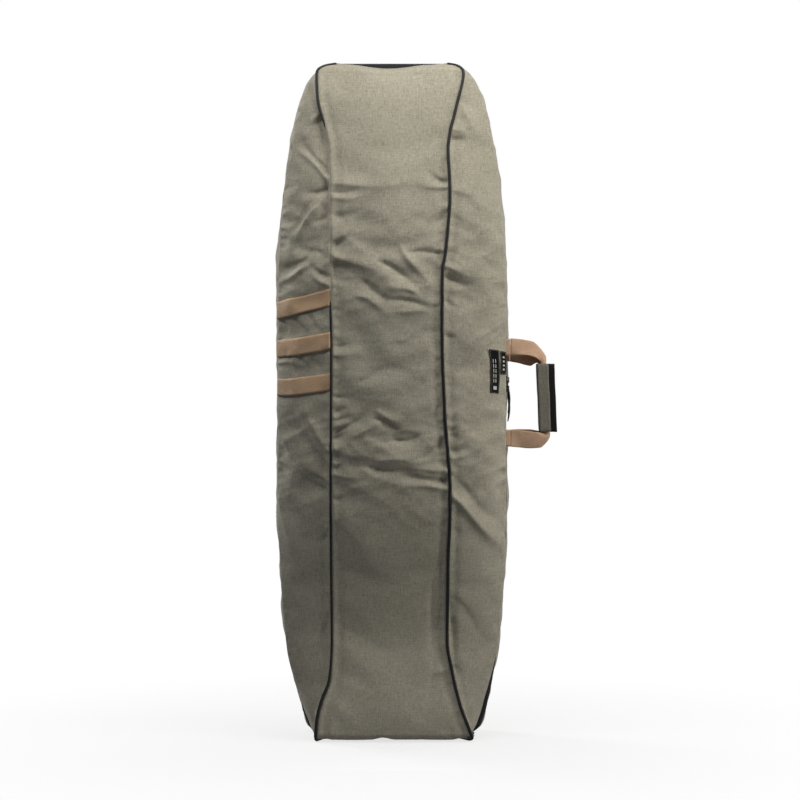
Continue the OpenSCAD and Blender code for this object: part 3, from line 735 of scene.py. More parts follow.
FABRIC = heather("heather_fabric", (202, 195, 174), (134, 128, 112))
# The wrap's cloth is the bag's heather painted darker: painted shade for the wrap's leaf, which turns away from
# the lights.
WRAP_FABRIC_PAINTED_SHADE = heather("heather_wrap_painted_shade", (146, 141, 126), (92, 88, 79))
LINING = lining_cloth()
FOAM = foam_cells()
PIPING = piping_cord()
TAPE = zip_cloth()
TEETH = nylon_teeth()
TAN = webbing("tan_webbing", (238, 198, 164), (192, 156, 127))
TAN_SIDE = webbing("tan_side_webbing", (222, 187, 149), (184, 152, 119))
# The rear handle's webbing is the tan webbing painted darker: painted shade where the front strap and the bag
# shadow it.
TAN_PAINTED_SHADE_REAR = webbing("tan_webbing_painted_shade", (196, 156, 126), (150, 116, 92))


def finish_piece(obj, body, material, node):
    """Gives a piece its material and its body, and hides the CAD node that it stands for."""
    obj.data.materials.append(material)
    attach(obj, body)
    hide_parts(node)


# ---- Camera ----

VIEW_WIDTH, VIEW_X, VIEW_Z = 1800, 18, 761
CAMERA_AWAY, SENSOR = 5200, 36
camera_data = bpy.data.cameras.new("camera")
camera_data.sensor_width = SENSOR
camera_data.lens = SENSOR * CAMERA_AWAY / VIEW_WIDTH
camera = bpy.data.objects.new("camera", camera_data)
camera.location = (VIEW_X * MM, (LID_Y - CAMERA_AWAY) * MM, VIEW_Z * MM)
camera.rotation_euler = (math.pi / 2, 0, 0)
bpy.context.scene.collection.objects.link(camera)
bpy.context.scene.camera = camera

# ---- Lid ----

LID, LID_CORE, LID_C, LID_UV = build_lid()
LID_OUT, CORE_OUT = grid_normals(LID), grid_normals(LID_CORE)


def lid_columns(first, last):
    j0, j1 = np.argmin(abs(LID_C - first)), np.argmin(abs(LID_C - last))
    return slice(j0, j1 + 1)


def lid_skin(name, first, last):
    cols = lid_columns(first, last)
    p, n = LID[:, cols], LID_OUT[:, cols]
    return slab(name, p, p - SKIN_T * n, LID_UV[:, cols], weld=True)


def lid_layer(name, first, last, depth, thickness, rim_depth, rows, trim):
    """A layer inside the lid. It rises from its depth to rim_depth where it meets the zip."""
    cols = lid_columns(first, last)
    cols = slice(cols.start + trim * (first == -2), cols.stop - trim * (last == 2))
    keep = slice(rows, len(LID) - rows, 2)
    p, n, uv = (g[keep, cols][:, ::2] for g in (LID_CORE, CORE_OUT, LID_UV))
    from_ends = np.minimum(np.arange(len(p)), np.arange(len(p))[::-1])[:, None] * 5.0
    from_zip = (2 - np.abs(LID_C[cols][::2]))[None] * 150
    nearness = np.exp(-(np.minimum(from_ends + 5 * rows, from_zip) / 9) ** 2)[..., None]
    outer = depth + (rim_depth - depth) * nearness
    return slab(name, p - outer * n, p - (outer + thickness) * n, uv, weld=True)


FOAM_AT = SKIN_T + 0.4
LINING_AT = FOAM_AT + FOAM_T + 0.3
for part, first, last in (("left", -2, -1), ("front", -1, 1), ("right", 1, 2)):
    rows = 2 if part == "front" else 14
    skin = lid_skin(f"{part}_panel", first, last)
    padding = lid_layer(f"{part}_padding", first, last, FOAM_AT, FOAM_T, FOAM_AT, rows + 2, 2)
    inner = lid_layer(f"{part}_inner_cloth", first, last, LINING_AT, LINING_T, FOAM_AT - 0.2, rows, 0)
    finish_piece(skin, "lid", FABRIC, f"{part}_skin")
    finish_piece(padding, "lid", FOAM, f"{part}_foam")
    finish_piece(inner, "lid", LINING, f"{part}_lining")


def seam_cord(name, col, shift, stations, node):
    """Piping along a seam from zip to zip. Each station is its height, the radius and how deep it lies."""
    j = np.argmin(abs(LID_C - col))
    height, radius, sink = zip(*stations)
    z = LID[1:-1, j, 2]
    radius, sink = lookup(z, list(zip(height, radius))), lookup(z, list(zip(height, sink)))
    path = LID[1:-1, j] + (radius - sink)[:, None] * LID_OUT[1:-1, j]
    path[:, 0] += shift
    softened(path, 14, (0,))
    run = np.minimum(np.arange(len(path)), np.arange(len(path))[::-1])
    thick = radius * np.clip(0.55 + run / 12, 0, 1)
    path[:, 2] = np.clip(path[:, 2], thick + 0.3, BAG_H - thick - 0.5)
    finish_piece(tube(name, path, thick), "lid", PIPING, node)


seam_cord("right_piping_cord", 1, 0.6, [(0, 3.4, 1.2), (60, 3.6, 0.8), (1400, 3.4, 0.8), (1520, 3.0, 1.2)],
          "right_piping")
seam_cord("left_piping_cord", -1, -1.4,
          [(0, 3.4, 0.4), (100, 3.4, 0.6), (170, 2.4, 1.4), (950, 2.2, 1.4), (1010, 1.4, 6.5),
           (1340, 1.4, 6.5), (1400, 2.4, 1.8), (1520, 2.8, 0.8)], "left_piping")

# ---- Tray: gusset and back panel ----

LOOP_STEP, BAND_COLS, BACK_ROLL = 7.5, 15, 7
LOOP, LOOP_S = outline_loop(LOOP_STEP)
INWARD = outline_inward(LOOP)
LOOP_N = len(LOOP)


def tray_band(depths, insets, bulge, wrinkle):
    """A grid round the bag: rows follow the outline and columns go back from depths[0] to depths[-1]."""
    t = np.linspace(0, 1, len(depths))
    out = np.stack([at_depth(LOOP + INWARD * inset, y) for y, inset in zip(depths, insets)], 1)
    outwards = at_depth(-INWARD, 0)[:, None]
    arch = np.sin(math.pi * t)[None]
    puff = bulge * arch * (1 + 0.5 * cloth_noise(out[:, :1] * [1, 0, 1], 170, 3.3))
    puff = puff + wrinkle * cloth_noise(out * [1, 0.6, 1.3], 66, 2.2) * arch ** 0.6
    run = np.broadcast_to(LOOP_S[:, None], out.shape[:2])
    for angle, scale, share in ((35, 60, 1.6), (-48, 46, 1.3)):
        creases = streaks(out[..., 1], run, math.radians(angle), scale, angle)
        puff = puff + share * wrinkle * creases * (0.35 + 0.65 * arch)
    puff = puff + 0.5 * wrinkle * cloth_noise(out * [1, 0.3, 1], 17, 4.4) * (1 - 0.6 * arch)
    foot = np.clip(LOOP[:, 1] / 25, 0, 1)[:, None]
    out = out + outwards * (puff * foot)[..., None]
    return out, np.broadcast_to(outwards, out.shape), cloth_grid(depths, LOOP_S)


def loop_rows(lower, upper, side):
    """The outline's places between two heights on one side of the bag, or across its foot or top."""
    x, z = LOOP[:, 0], LOOP[:, 1]
    if side == "foot":
        rows = np.flatnonzero(z < upper)
        return np.r_[rows[rows > LOOP_N // 2], rows[rows <= LOOP_N // 2]]
    if side == "top":
        return np.flatnonzero(z > lower)
    return np.flatnonzero((z >= lower) & (z <= upper) & (x > 0 if side == "right" else x < 0))


def span(node):
    low, high = box_mm(node)
    return low[2], high[2]


def round_edge(y0, y1, n, radius):
    """Depths and insets of a band that rolls in over a small radius at its back edge."""
    t = np.linspace(0, 1, n)
    y = y0 + (y1 - y0) * t
    inset = radius - np.sqrt(np.maximum(radius ** 2 - np.clip(y - (y1 - radius), 0, radius) ** 2, 0))
    return y, inset


BAND_Y, BAND_INSET = round_edge(GUSSET_Y, BACK_Y - 1.1, BAND_COLS, BACK_ROLL)
BAND, BAND_OUT, BAND_UV = tray_band(BAND_Y, BAND_INSET, 5.0, 3.6)
low_z, high_z = box_mm("gusset_bottom_skin")[1][2], box_mm("gusset_top_skin")[0][2]
GUSSETS = {"right": loop_rows(low_z, high_z, "right"), "left": loop_rows(low_z, high_z, "left"),
           "bottom": loop_rows(0, low_z, "foot"), "top": loop_rows(high_z, 0, "top")}
for part, rows in GUSSETS.items():
    rows = np.r_[rows[0] - 1, rows, rows[-1] + 1] % LOOP_N if part in ("left", "right") else rows
    uv = cloth_grid(BAND_Y, np.arange(len(rows)) * LOOP_S[1])
    p, out = BAND[rows], BAND_OUT[rows]
    skin = slab(f"{part}_gusset", p, p - out * SKIN_T, uv)
    finish_piece(skin, "base", FABRIC, f"gusset_{part}_skin")
    p, out, uv = p[:, 1:-1], out[:, 1:-1], uv[:, 1:-1]
    inner = p - out * FOAM_AT
    padding = slab(f"{part}_gusset_padding", inner, inner - out * (FOAM_T - 0.6), uv)
    finish_piece(padding, "base", FOAM, f"gusset_{part}_foam")

p, out, uv = BAND[:, 1:-1], BAND_OUT[:, 1:-1], BAND_UV[:, 1:-1]
inner = slab("gusset_inner_cloth", p - out * (LINING_AT - 0.4), p - out * (LINING_AT + 0.2), uv, loop=True)
finish_piece(inner, "base", LINING, "gusset_lining")


def back_grid(inset, y, bulge, rows=260, cols=101):
    """A grid over the back panel, inset from the outline, with its edges rolled in."""
    z = BAG_H * (1 - np.cos(np.linspace(0.02, math.pi - 0.02, rows))) / 2
    z = inset + (BAG_H - 2 * inset) * (z - z[0]) / (z[-1] - z[0])
    u = np.sin(np.linspace(-math.pi / 2, math.pi / 2, cols))
    w = half_width(z) - inset
    x = u[None] * w[:, None]
    zz = np.broadcast_to(z[:, None], x.shape)
    edge = np.minimum(w[:, None] - abs(x), np.minimum(zz - inset, BAG_H - inset - zz))
    x = x + lean(zz)
    rise = bulge * (1 - np.exp(-np.clip(edge, 0, None) / 22))
    p = np.stack([x, np.full_like(x, y), zz], -1)
    inside = 1 - np.exp(-np.clip(edge, 0, None) / 40)
    rise = rise + bulge * 0.5 * cloth_noise(p, 190, 8.1) * inside
    for angle, scale, share in ((28, 95, 1.2), (-34, 80, 1.0), (8, 44, 0.5)):
        rise = rise + bulge * share * streaks(x, zz, math.radians(angle), scale, angle) * inside
    rise = rise + 0.3 * bulge * cloth_noise(p, 26, 6.3) * (1 - np.exp(-edge / 10)) * np.exp(-edge / 45)
    p[..., 1] += rise
    return p[:, ::-1], np.stack([x, zz], -1)[:, ::-1]


for name, inset, y, thickness, bulge, slot, material, node, fill in (
        ("back_panel", 2.2, BACK_Y, SKIN_T, 9, "outer_fabric", FABRIC, "back_skin", 0.6),
        ("back_padding", 9, BACK_Y - SKIN_T - 0.3, FOAM_T - 0.4, 6, "foam", FOAM, "back_foam", 0.9),
        ("back_inner_cloth", 9, BACK_Y - 7, LINING_T, 3, "lining", LINING, "back_lining", 0.4)):
    p, uv = back_grid(inset, y, bulge)
    finish_piece(slab(name, p, p - [0, thickness, 0], uv, weld=True), "base", material, node)
BEAD_R, BEAD_INSET = 2.7, 2.8
bead = LOOP + INWARD * BEAD_INSET
bead[:, 1] = np.maximum(bead[:, 1], BEAD_R + 0.5)
bead = tube("back_piping_cord", at_depth(bead, BACK_Y + 1.6), BEAD_R, loop=True)
finish_piece(bead, "base", PIPING, "back_piping")

# ---- Zip and fabric hinge ----

HINGE_LOW, HINGE_HIGH = span("rear_hinge_band")


def zip_rows(loop):
    """An outline's places along the zip, from the left over the top to the foot, and along the hinge."""
    hinge = (loop[:, 0] < 0) & (loop[:, 1] > HINGE_LOW) & (loop[:, 1] < HINGE_HIGH)
    rows = np.flatnonzero(~hinge)
    gap = np.flatnonzero(np.diff(rows) > 1)[0]
    return np.r_[rows[gap + 1:], rows[:gap + 1]], np.flatnonzero(hinge)


ZIP_STEP = 5.0
ZIP_LOOP = outline_loop(ZIP_STEP)[0]
ZIP_IN = outline_inward(ZIP_LOOP)
ZIP_ROWS, HINGE_ROWS = zip_rows(ZIP_LOOP)
HINGE_ROWS = np.r_[HINGE_ROWS[0] - 1, HINGE_ROWS, HINGE_ROWS[-1] + 1]


def band(name, rows, sections, thickness):
    """A strip along the outline. sections are (y, inset) across it, where inset may vary along the strip."""
    loop, inward = ZIP_LOOP[rows], ZIP_IN[rows]
    lines = [(y, np.broadcast_to(inset, len(rows))[:, None]) for y, inset in sections]
    p = np.stack([at_depth(loop + inward * inset, y) for y, inset in lines], 1)
    uv = cloth_grid([y for y, _ in sections], np.arange(len(rows)) * ZIP_STEP)
    return slab(name, p, p - at_depth(-inward, 0)[:, None] * thickness, uv)


TAPE_IN, TAPE_T, HINGE_T = TAPE_INSET - 0.6, 0.8, 1.1
lid_edge = edge_inset(ZIP_LOOP[ZIP_ROWS, 0], ZIP_LOOP[ZIP_ROWS, 1])
finish_piece(band("front_zip_cloth", ZIP_ROWS,
                  [(LID_Y - 0.5, lid_edge + 1.4), (LID_Y + 2.5, lid_edge * 0.5 + 1.6), (LID_Y + 6, TAPE_IN),
                   (CHAIN_Y - 5, TAPE_IN), (CHAIN_Y - 1.1, TAPE_IN + 0.4)], TAPE_T),
             "lid", TAPE, "front_zip_tape")
finish_piece(band("rear_zip_cloth", ZIP_ROWS,
                  [(CHAIN_Y + 1.1, TAPE_IN + 0.4), (CHAIN_Y + 5, TAPE_IN), (GUSSET_Y - 5, TAPE_IN),
                   (GUSSET_Y + 0.5, TAPE_IN)], TAPE_T),
             "base", TAPE, "rear_zip_tape")
for side, body, y0, y1, y2 in (("front", "lid", LID_Y + 0.1, LID_Y + 7, CHAIN_Y - 0.15),
                               ("rear", "base", CHAIN_Y + 0.15, GUSSET_Y - 7, GUSSET_Y - 0.1)):
    finish_piece(band(f"{side}_hinge_cloth", HINGE_ROWS,
                      [(y0, TAPE_IN - 0.4), (y1, TAPE_IN - 0.9), (y2, TAPE_IN - 0.4)], HINGE_T),
                 body, FABRIC, f"{side}_hinge_band")
tabs = []
for end in (HINGE_LOW, HINGE_HIGH):
    rows = np.flatnonzero((ZIP_LOOP[:, 0] < 0) & (np.abs(ZIP_LOOP[:, 1] - end) < 13))
    across = [(y, TAPE_IN - 1.7) for y in np.linspace(CHAIN_Y + 4, GUSSET_Y - 1, 7)]
    tabs.append(band("zip_end_cover", rows, across, HINGE_T))
finish_piece(merge(tabs), "base", TAPE, "zip_end_tabs")


def coil(name, y0, side, body, node):
    """Half of the zip's chain: a strip of close turns, each a rounded tooth with a gap beside it."""
    pitch, width, height, gap = 2.0, 3.6, 1.9, 0.55
    loop = outline_loop(pitch / 2)[0]
    rows = zip_rows(loop)[0]
    loop, inward = loop[rows], outline_inward(loop)[rows]
    turn = np.where(np.arange(len(rows)) % 2 == 1, 1, gap)[:, None]
    section = [(0, 0.25), (0.15, 1), (0.85, 1), (1, 0.25)]
    top, floor = (np.stack([at_depth(loop + inward * (TAPE_IN - up - tall * h * turn), y0 + side * width * t)
                            for t, h in section], 1) for up, tall in ((0.1, height), (0.02, 0)))
    uv = cloth_grid([t * width for t, _ in section], np.arange(len(rows)) * pitch / 2)
    finish_piece(slab(name, top, floor, uv), body, TEETH, node)


for side, body, back in (("front", "lid", -1), ("rear", "base", 1)):
    coil(f"{side}_zip_chain", CHAIN_Y + 0.15 * back, back, body, f"{side}_zip_coil")

# ---- Webbing strips and labels on the lid ----

WEBBING_W = 38
LABEL_ROWS, LABEL_COLS = 24, 9


def on_lid(z, c, lift):
    """Points on the lid's finished surface at heights z and columns c, lifted off it."""
    p = np.zeros((len(z), 3))
    face = slice(20, len(LID) - 20)
    for i, (height, col) in enumerate(zip(z, c)):
        j = np.clip(np.interp(col, LID_C, np.arange(len(LID_C))), 0, len(LID_C) - 1.001)
        j0, f = int(j), j - int(j)
        line, out = (g[face, j0] * (1 - f) + g[face, j0 + 1] * f for g in (LID, LID_OUT))
        p[i] = [np.interp(height, line[:, 2], line[:, a] + lift[i] * out[:, a]) for a in range(3)]
    return p


def flattened(grid):
    """The smooth curved surface that fits a grid of points best."""
    rows, cols = np.meshgrid(*(np.linspace(-1, 1, n) for n in grid.shape[:2]), indexing="ij")
    terms = np.stack([rows * 0 + 1, rows, cols, rows * rows, rows * cols], -1).reshape(-1, 5)
    fit = np.linalg.lstsq(terms, grid.reshape(-1, 3), rcond=None)[0]
    return (terms @ fit).reshape(grid.shape)


def lid_patch(name, z_low, z_high, columns, lift, thickness, rows, label_uv=None):
    """A strip of webbing or a label on the lid. z_low and z_high are given at each column."""
    grids = []
    for extra in (thickness, 0):
        grid = np.zeros((rows, len(columns), 3))
        for r in range(rows):
            t = r / (rows - 1)
            grid[r] = on_lid(z_low * (1 - t) + z_high * t, columns, lift + extra)
        grids.append(softened(grid if label_uv is None else flattened(grid), 2, (1, 0)))
    if label_uv is not None:
        return slab(name, *grids, label_uv)
    return slab(name, *grids, cloth_grid(run_along(grids[0][0]), np.linspace(0, WEBBING_W, rows))[..., ::-1])


for name, edge_z, seam_z in (("upper", 962, 988), ("middle", 876, 892), ("lower", 790, 801)):
    t = np.linspace(0, 1, 40)
    mid = edge_z * (1 - t) + seam_z * t - 5 * np.sin(math.pi * t)
    lift = 0.7 + 2.6 * np.sin(math.pi * np.clip(t * 1.05, 0, 1)) + 0.4 * np.sin(t * 19 + edge_z)
    cols = np.linspace(-2.0, -1.015, 40)
    strip = lid_patch(f"{name}_side_webbing", mid - WEBBING_W / 2, mid + WEBBING_W / 2, cols, lift, 1.9, 9)
    finish_piece(strip, "lid", TAN_SIDE, f"{name}_side_strip")

# Each label: its first and last column, the heights of its lower and upper corners, its width and its marks.
LABELS = {
    "long": (1.62, 1.8, (777, 775), (874, 872), 20,
             [(6, 8, 14, 16)] + [(u, v, u + 1.5, v + 8) for v in range(24, 69, 11) for u in (5.5, 10.5)]),
    "short": (1.835, 1.975, (819, 818), (870, 869), 15, [(5, 9 + 9 * i, 10, 13 + 9 * i) for i in range(4)]),
}
for name, (first, last, low, high, width, marks) in LABELS.items():
    length = high[0] - low[0]
    low, high, cols, u = (np.linspace(*ends, LABEL_COLS) for ends in (low, high, (first, last), (0, width)))
    uv = cloth_grid(u, np.linspace(0, length, LABEL_ROWS))
    patch = lid_patch(f"{name}_woven_label", low, high, cols, np.full(LABEL_COLS, 1.6), 0.6, LABEL_ROWS, uv)
    cloth = label_cloth(f"{name}_label_cloth", width, length, marks)
    finish_piece(patch, "lid", cloth, f"{name}_label")

# ---- Handles ----

STRAP_X = 267.6
FRONT_STRAP_Y, REAR_STRAP_Y = LID_Y + 1.4, GUSSET_Y - 1.4
STRAP_ANGLE = math.radians(6.7)
WEBBING_T = 2.4


def in_handle(points, y, angle):
    """Turns points from a handle's own plane, with distance from the bag first, into the bag's frame."""
    d, n, z = points[..., 0], points[..., 1], points[..., 2]
    return np.stack([STRAP_X + d * math.cos(angle) - n * math.sin(angle),
                     y + d * math.sin(angle) + n * math.cos(angle), z], -1)


def thickened(grid, half):
    """The front and the rear face of webbing whose middle is a grid."""
    offset = np.stack(np.broadcast_arrays(0.0, half, np.zeros(grid.shape[:2])), -1)
    return grid - offset, grid + offset


def handle_webbing(name, edges, y, angle, back):
    """A handle's webbing along its stations, each the distance and height of its outer and its inner edge."""
    edges = np.asarray(edges, float)
    s = run_along((edges[:, :2] + edges[:, 2:]) / 2)
    run = np.linspace(0, s[-1], 190)
    e = np.stack([lookup(run, list(zip(s, edges[:, a]))) for a in range(4)], -1)
    across = np.linspace(-1, 1, 13)
    width = np.hypot(e[:, 0] - e[:, 2], e[:, 1] - e[:, 3])
    folded = np.clip((34 - width) / 16, 0, 1)
    grid = np.zeros((len(run), len(across), 3))
    from_roots = np.minimum(run, s[-1] - run)
    roll = 7.5 * (1 - folded) * np.clip(from_roots / 22, 0, 1)
    for j, w in enumerate(across):
        t = (1 + w) / 2
        grid[:, j, 0] = e[:, 0] * (1 - t) + e[:, 2] * t
        grid[:, j, 2] = e[:, 1] * (1 - t) + e[:, 3] * t
        grid[:, j, 1] = back * (3.2 * folded * (w * w - 0.35) + 1.4 * np.sin(run / 30 + 1.3) * folded * w)
        grid[:, j, 1] -= roll * w * 0.7
        grid[:, j, 1] += 0.9 * np.sin(run / 21) * np.sin(2.2 * w + run / 60) * np.clip(from_roots / 20, 0, 1)
    half = WEBBING_T / 2 * (1 - 0.25 * np.abs(across) ** 6)[None]
    half = half * np.clip(0.15 + from_roots / 3, 0, 1)[:, None]
    front, rear = (in_handle(side, y, angle) for side in thickened(grid, half))
    return slab(name, front, rear, cloth_grid(across * WEBBING_W / 2, run))


# Each station: outer edge, then inner edge, as (distance from the root, height).
FRONT_ARMS = [
    (-0.8, 900, -0.8, 862), (18, 898.5, 18, 862.5), (36, 896, 37, 861.5), (50, 893, 50, 858.5),
    (57, 889, 56, 856), (64, 882, 61, 853), (71, 874, 65, 850), (77, 866, 67.5, 847), (81, 858, 68.5, 843),
    (81.5, 847, 67, 838), (81, 825, 65.5, 825), (81.5, 790, 65.5, 790), (84, 740, 67, 740),
    (87, 708, 70, 708), (90, 690, 74, 692), (90, 681, 78, 687), (86, 671, 76, 686), (78, 661, 68, 687),
    (68, 653.5, 57, 688.5), (44, 652, 42, 690.5), (20, 654, 20, 693), (-0.8, 656, -0.8, 694),
]
REAR_ARMS = [
    (-0.8, 886, -0.8, 848), (20, 883, 20, 844), (36, 879, 34, 840), (50, 872, 46, 838), (60, 864, 53, 842),
    (70, 857, 60, 845), (77, 848, 64, 842), (80, 838, 65, 834), (81.5, 800, 65.5, 800), (83, 740, 67, 740),
    (86, 706, 69, 706), (88.5, 692, 72, 694), (87, 680, 70, 690), (78, 668, 62, 692), (64, 660, 54, 693.5),
    (44, 656, 42, 695), (20, 656.5, 20, 695), (-0.8, 656, -0.8, 694),
]
# The rear strap and its sewn ends use the darker tan, which is painted shade.
for side, arms, y, back, slot, material in (
        ("front", FRONT_ARMS, FRONT_STRAP_Y, 1, "webbing", TAN),
        ("rear", REAR_ARMS, REAR_STRAP_Y, -1, "rear_webbing", TAN_PAINTED_SHADE_REAR)):
    strap = handle_webbing(f"{side}_handle_webbing", arms, y, back * STRAP_ANGLE, back)
    finish_piece(strap, f"{side}_handle", material, f"{side}_strap")

ROOT_NEAR, ROOT_FAR, ROOT_T = 255.2, 266.4, 2.3


def anchor(name, y, heights, body, node, material):
    """The sewn ends of a handle's webbing, folded flat against the zip's edge."""
    pieces = []
    for z in heights:
        t = np.linspace(0, 1, 7)
        w = np.linspace(-WEBBING_W / 2, WEBBING_W / 2, 9)
        d = ROOT_NEAR + (ROOT_FAR - ROOT_NEAR) * t
        ripple = 0.3 * np.sin(w / 6)[:, None] * t[None]
        grid = np.stack(np.broadcast_arrays(d[None], y + ripple, z + w[:, None]), -1)
        front, rear = thickened(grid, ROOT_T / 2)
        pieces.append(slab(name, front, rear, cloth_grid(d, w)[..., ::-1]))
    finish_piece(merge(pieces), body, material, node)


anchor("front_handle_roots", FRONT_STRAP_Y, (880, 675), "lid", "front_strap_anchors", TAN)
anchor("rear_handle_roots", REAR_STRAP_Y, (867, 675), "base", "rear_strap_anchors", TAN_PAINTED_SHADE_REAR)

# ---- Hand wrap ----

WRAP_LOW, WRAP_HIGH = span("wrap_front_cover")
WRAP_DROP, WRAP_DRIFT = 7, 6.4


def wrap_leaf(name, section, thickness, y, angle):
    """A leaf of the hand wrap: a strip of cloth bent along a section of (distance, offset), up the grip."""
    section = np.asarray(section, float)
    t = np.linspace(0, 1, 26)
    s = run_along(section)
    along = np.linspace(0, s[-1], 30)
    mid = softened(np.stack([np.interp(along, s, section[:, a]) for a in (0, 1)], -1), 3, (0,))
    tangent = np.gradient(mid, axis=0)
    tangent /= np.linalg.norm(tangent, axis=1)[:, None]
    normal = np.c_[tangent[:, 1], -tangent[:, 0]]
    rim = np.minimum(along, s[-1] - along)
    puff = thickness / 2 * (np.minimum(1, 0.4 + rim / 3.0) + 0.3 * np.exp(-((rim - 4) / 2) ** 2))
    z = WRAP_LOW - WRAP_DROP + (WRAP_HIGH - WRAP_LOW + WRAP_DROP) * t
    end = np.minimum(1, 0.4 + np.minimum(t, 1 - t) * 30)
    drift = WRAP_DRIFT * (1 - t)
    grids = []
    for sign in (1, -1):
        grid = np.zeros((len(t), len(along), 3))
        place = np.stack(np.broadcast_arrays(along[None] * 1.5, thickness, z[:, None]), -1)
        offset = sign * puff[None] * end[:, None] + 0.55 * cloth_noise(place, 26, 4.7)
        sway = 0.9 * cloth_noise(place * [0.2, 1, 1], 45, 2.9)
        grid[..., 0] = mid[None, :, 0] + normal[None, :, 0] * offset + drift[:, None] + sway
        grid[..., 1] = mid[None, :, 1] + normal[None, :, 1] * offset
        frayed = np.abs(2 * t - 1)[:, None] ** 6
        grid[..., 2] = z[:, None] + 0.8 * cloth_noise(place * [1, 1, 0.1], 12, 6.1) * frayed
        grids.append(in_handle(grid, y, angle))
    return slab(name, *grids, cloth_grid(along, z - z[0]))


# The wrap's leaves wear the darker heather, which is painted shade.
for side, body, y, angle, cover, cover_t, backing in (
        ("front", "wrap_flap", FRONT_STRAP_Y, STRAP_ANGLE,
         [(59.0, -3.8), (62, -4.4), (82, -4.4), (84.6, -3.6)], 2.4, [(60.4, -2.2), (83.8, -2.2)]),
        ("back", "rear_handle", REAR_STRAP_Y, -STRAP_ANGLE,
         [(99.4, 4.2), (63, 4.2), (60.4, 3.4), (59.2, 0.5), (59.0, -10.5)], 1.8, [(60.8, 2.2), (99.2, 2.2)])):
    finish_piece(wrap_leaf(f"wrap_{side}_leaf", cover, cover_t, y, angle), body, WRAP_FABRIC_PAINTED_SHADE,
                 f"wrap_{side}_cover")
    finish_piece(wrap_leaf(f"wrap_{side}_backing", backing, 1.1, y, angle), body, TAPE,
                 f"wrap_{side}_lining")

# ---- Pullers ----

PIVOT_X, EYE_R, STRAND_R, GRIP_TOP, GRIP_LENGTH = 261.1, 3.1, 1.0, 13, 62


def cord_puller(name, z, tilt, body, node):
    """A moulded cord that hangs from a slider's bail by a loop, and swells to a grip before its tip."""
    t = np.linspace(0, 1, 48)
    pivot = np.array([PIVOT_X, CHAIN_Y, z])
    drop = EYE_R + 0.3
    loop = [(0, EYE_R * math.cos(a), EYE_R * math.sin(a) - drop) for a in np.linspace(0, math.pi, 13)]
    neck = [(0.2, -EYE_R + 2.2 * q, -drop - 11 * q) for q in np.linspace(0.1, 1, 8)]
    ring = np.array([(x, -y, h) for x, y, h in neck[::-1]] + loop + neck) + pivot
    grip = np.stack([pivot[0] + 3.4 * np.sin(math.pi * t), pivot[1] + tilt * t ** 0.8,
                     z - GRIP_TOP - GRIP_LENGTH * t], -1)
    thick = 1.5 + 1.1 * np.sin(math.pi * np.clip(t * 1.1, 0, 1)) ** 0.7
    thick[-3:] *= [0.9, 0.7, 0.35]
    cord = merge([tube(name, grip, thick), tube(name + "_loop", ring, STRAND_R, sides=8, reference=(1.0, 0, 0))])
    finish_piece(cord, body, moulded_cord, node)


moulded_cord = moulded()
for side, z, tilt in (("upper", 806, -7.4), ("lower", 787, 0)):
    cord_puller(f"{side}_cord_puller", z, tilt, f"{side}_puller_body", f"{side}_puller")

# ---- CAD nodes that keep their shapes ----

for node in ("upper_slider", "lower_slider"):
    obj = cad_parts[node]
    obj.data.materials.clear()
    obj.data.materials.append(enamel())

# ---- Floor, world and lights ----

FLOOR_R, FLOOR_SIDES = 5, 96
floor_data = bpy.data.meshes.new("floor")
turns = np.linspace(0, 2 * math.pi, FLOOR_SIDES, endpoint=False)
floor_data.from_pydata([(FLOOR_R * math.cos(a), FLOOR_R * math.sin(a), 0) for a in turns], [],
                       [list(range(FLOOR_SIDES))])
floor = bpy.data.objects.new("floor", floor_data)
bpy.context.scene.collection.objects.link(floor)
paper = Nodes("paper", uv=False, Roughness=0.9, Specular_IOR_Level=0.1)
far = paper.math("SQRT", paper.plus(paper.times(paper.u, paper.u), paper.times(paper.v, paper.v)))
cover = paper.math("SUBTRACT", 0.3, paper.times(far, 0.25))
paper.link(paper.math("MAXIMUM", cover, 0.0), paper.shader.inputs["Alpha"])
paper.paint(paper.noise(40, detail=3), (244, 244, 244), (250, 250, 250), high=0.7)
floor_data.materials.append(paper.material)

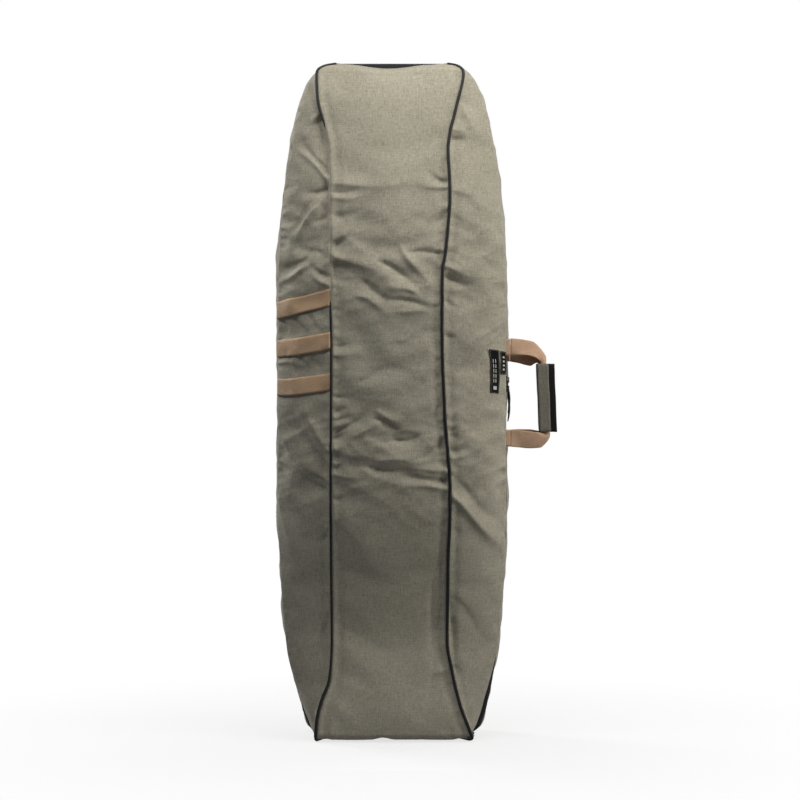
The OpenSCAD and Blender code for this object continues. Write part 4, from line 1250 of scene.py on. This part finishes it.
world = bpy.data.worlds.new("studio")
bpy.context.scene.world = world
world.use_nodes = True
tree = world.node_tree
backdrop = tree.nodes["Background"]
backdrop.inputs["Color"].default_value = (1, 1, 1, 1)
backdrop.inputs["Strength"].default_value = 1.0
ambient = tree.nodes.new("ShaderNodeBackground")
ambient.inputs["Color"].default_value = (0.84, 0.9, 1, 1)
ambient.inputs["Strength"].default_value = 0.11
rays = tree.nodes.new("ShaderNodeLightPath")
choose = tree.nodes.new("ShaderNodeMixShader")
tree.links.new(rays.outputs["Is Camera Ray"], choose.inputs[0])
tree.links.new(ambient.outputs[0], choose.inputs[1])
tree.links.new(backdrop.outputs[0], choose.inputs[2])
tree.links.new(choose.outputs[0], tree.nodes["World Output"].inputs["Surface"])


def area_light(name, place, aim, size, power, colour):
    data = bpy.data.lights.new(name, "AREA")
    data.shape = "DISK"
    data.size = size
    data.energy = power
    data.color = colour
    light = bpy.data.objects.new(name, data)
    light.location = place
    light.visible_camera = False
    light.rotation_mode = "QUATERNION"
    light.rotation_quaternion = (Vector(aim) - Vector(place)).to_track_quat("-Z", "Y")
    bpy.context.scene.collection.objects.link(light)


WARM, COOL = (1, 0.985, 0.95), (0.99, 0.99, 1)
for name, place, aim, size, power, colour in (
        ("overhead", (0.2, -0.5, 2.0), (0, 0, 1.3), 0.5, 4.7, WARM),
        ("right_top", (1.6, -0.7, 1.8), (0.1, 0, 1.0), 0.7, 10.9, WARM),
        ("right_side", (1.75, -0.55, 0.7), (0.15, 0, 0.6), 0.8, 7.6, WARM),
        ("left_top", (-1.2, -0.9, 2.3), (0, 0, 1.2), 0.6, 10.9, COOL),
        ("floor_bounce", (0.02, -0.5, 0.04), (0.02, -0.1, 0.08), 0.3, 0.06, WARM),
        ("back_left", (-2.3, 1.9, 2.4), (0, 0.1, 0.8), 1.0, 55, (1, 0.99, 0.97)),
        ("back_right", (2.4, 2.2, 1.5), (0, 0.1, 0.7), 1.4, 22, (0.98, 0.99, 1))):
    area_light(name, place, aim, size, power, colour)

bpy.context.scene.view_settings.view_transform = "Standard"
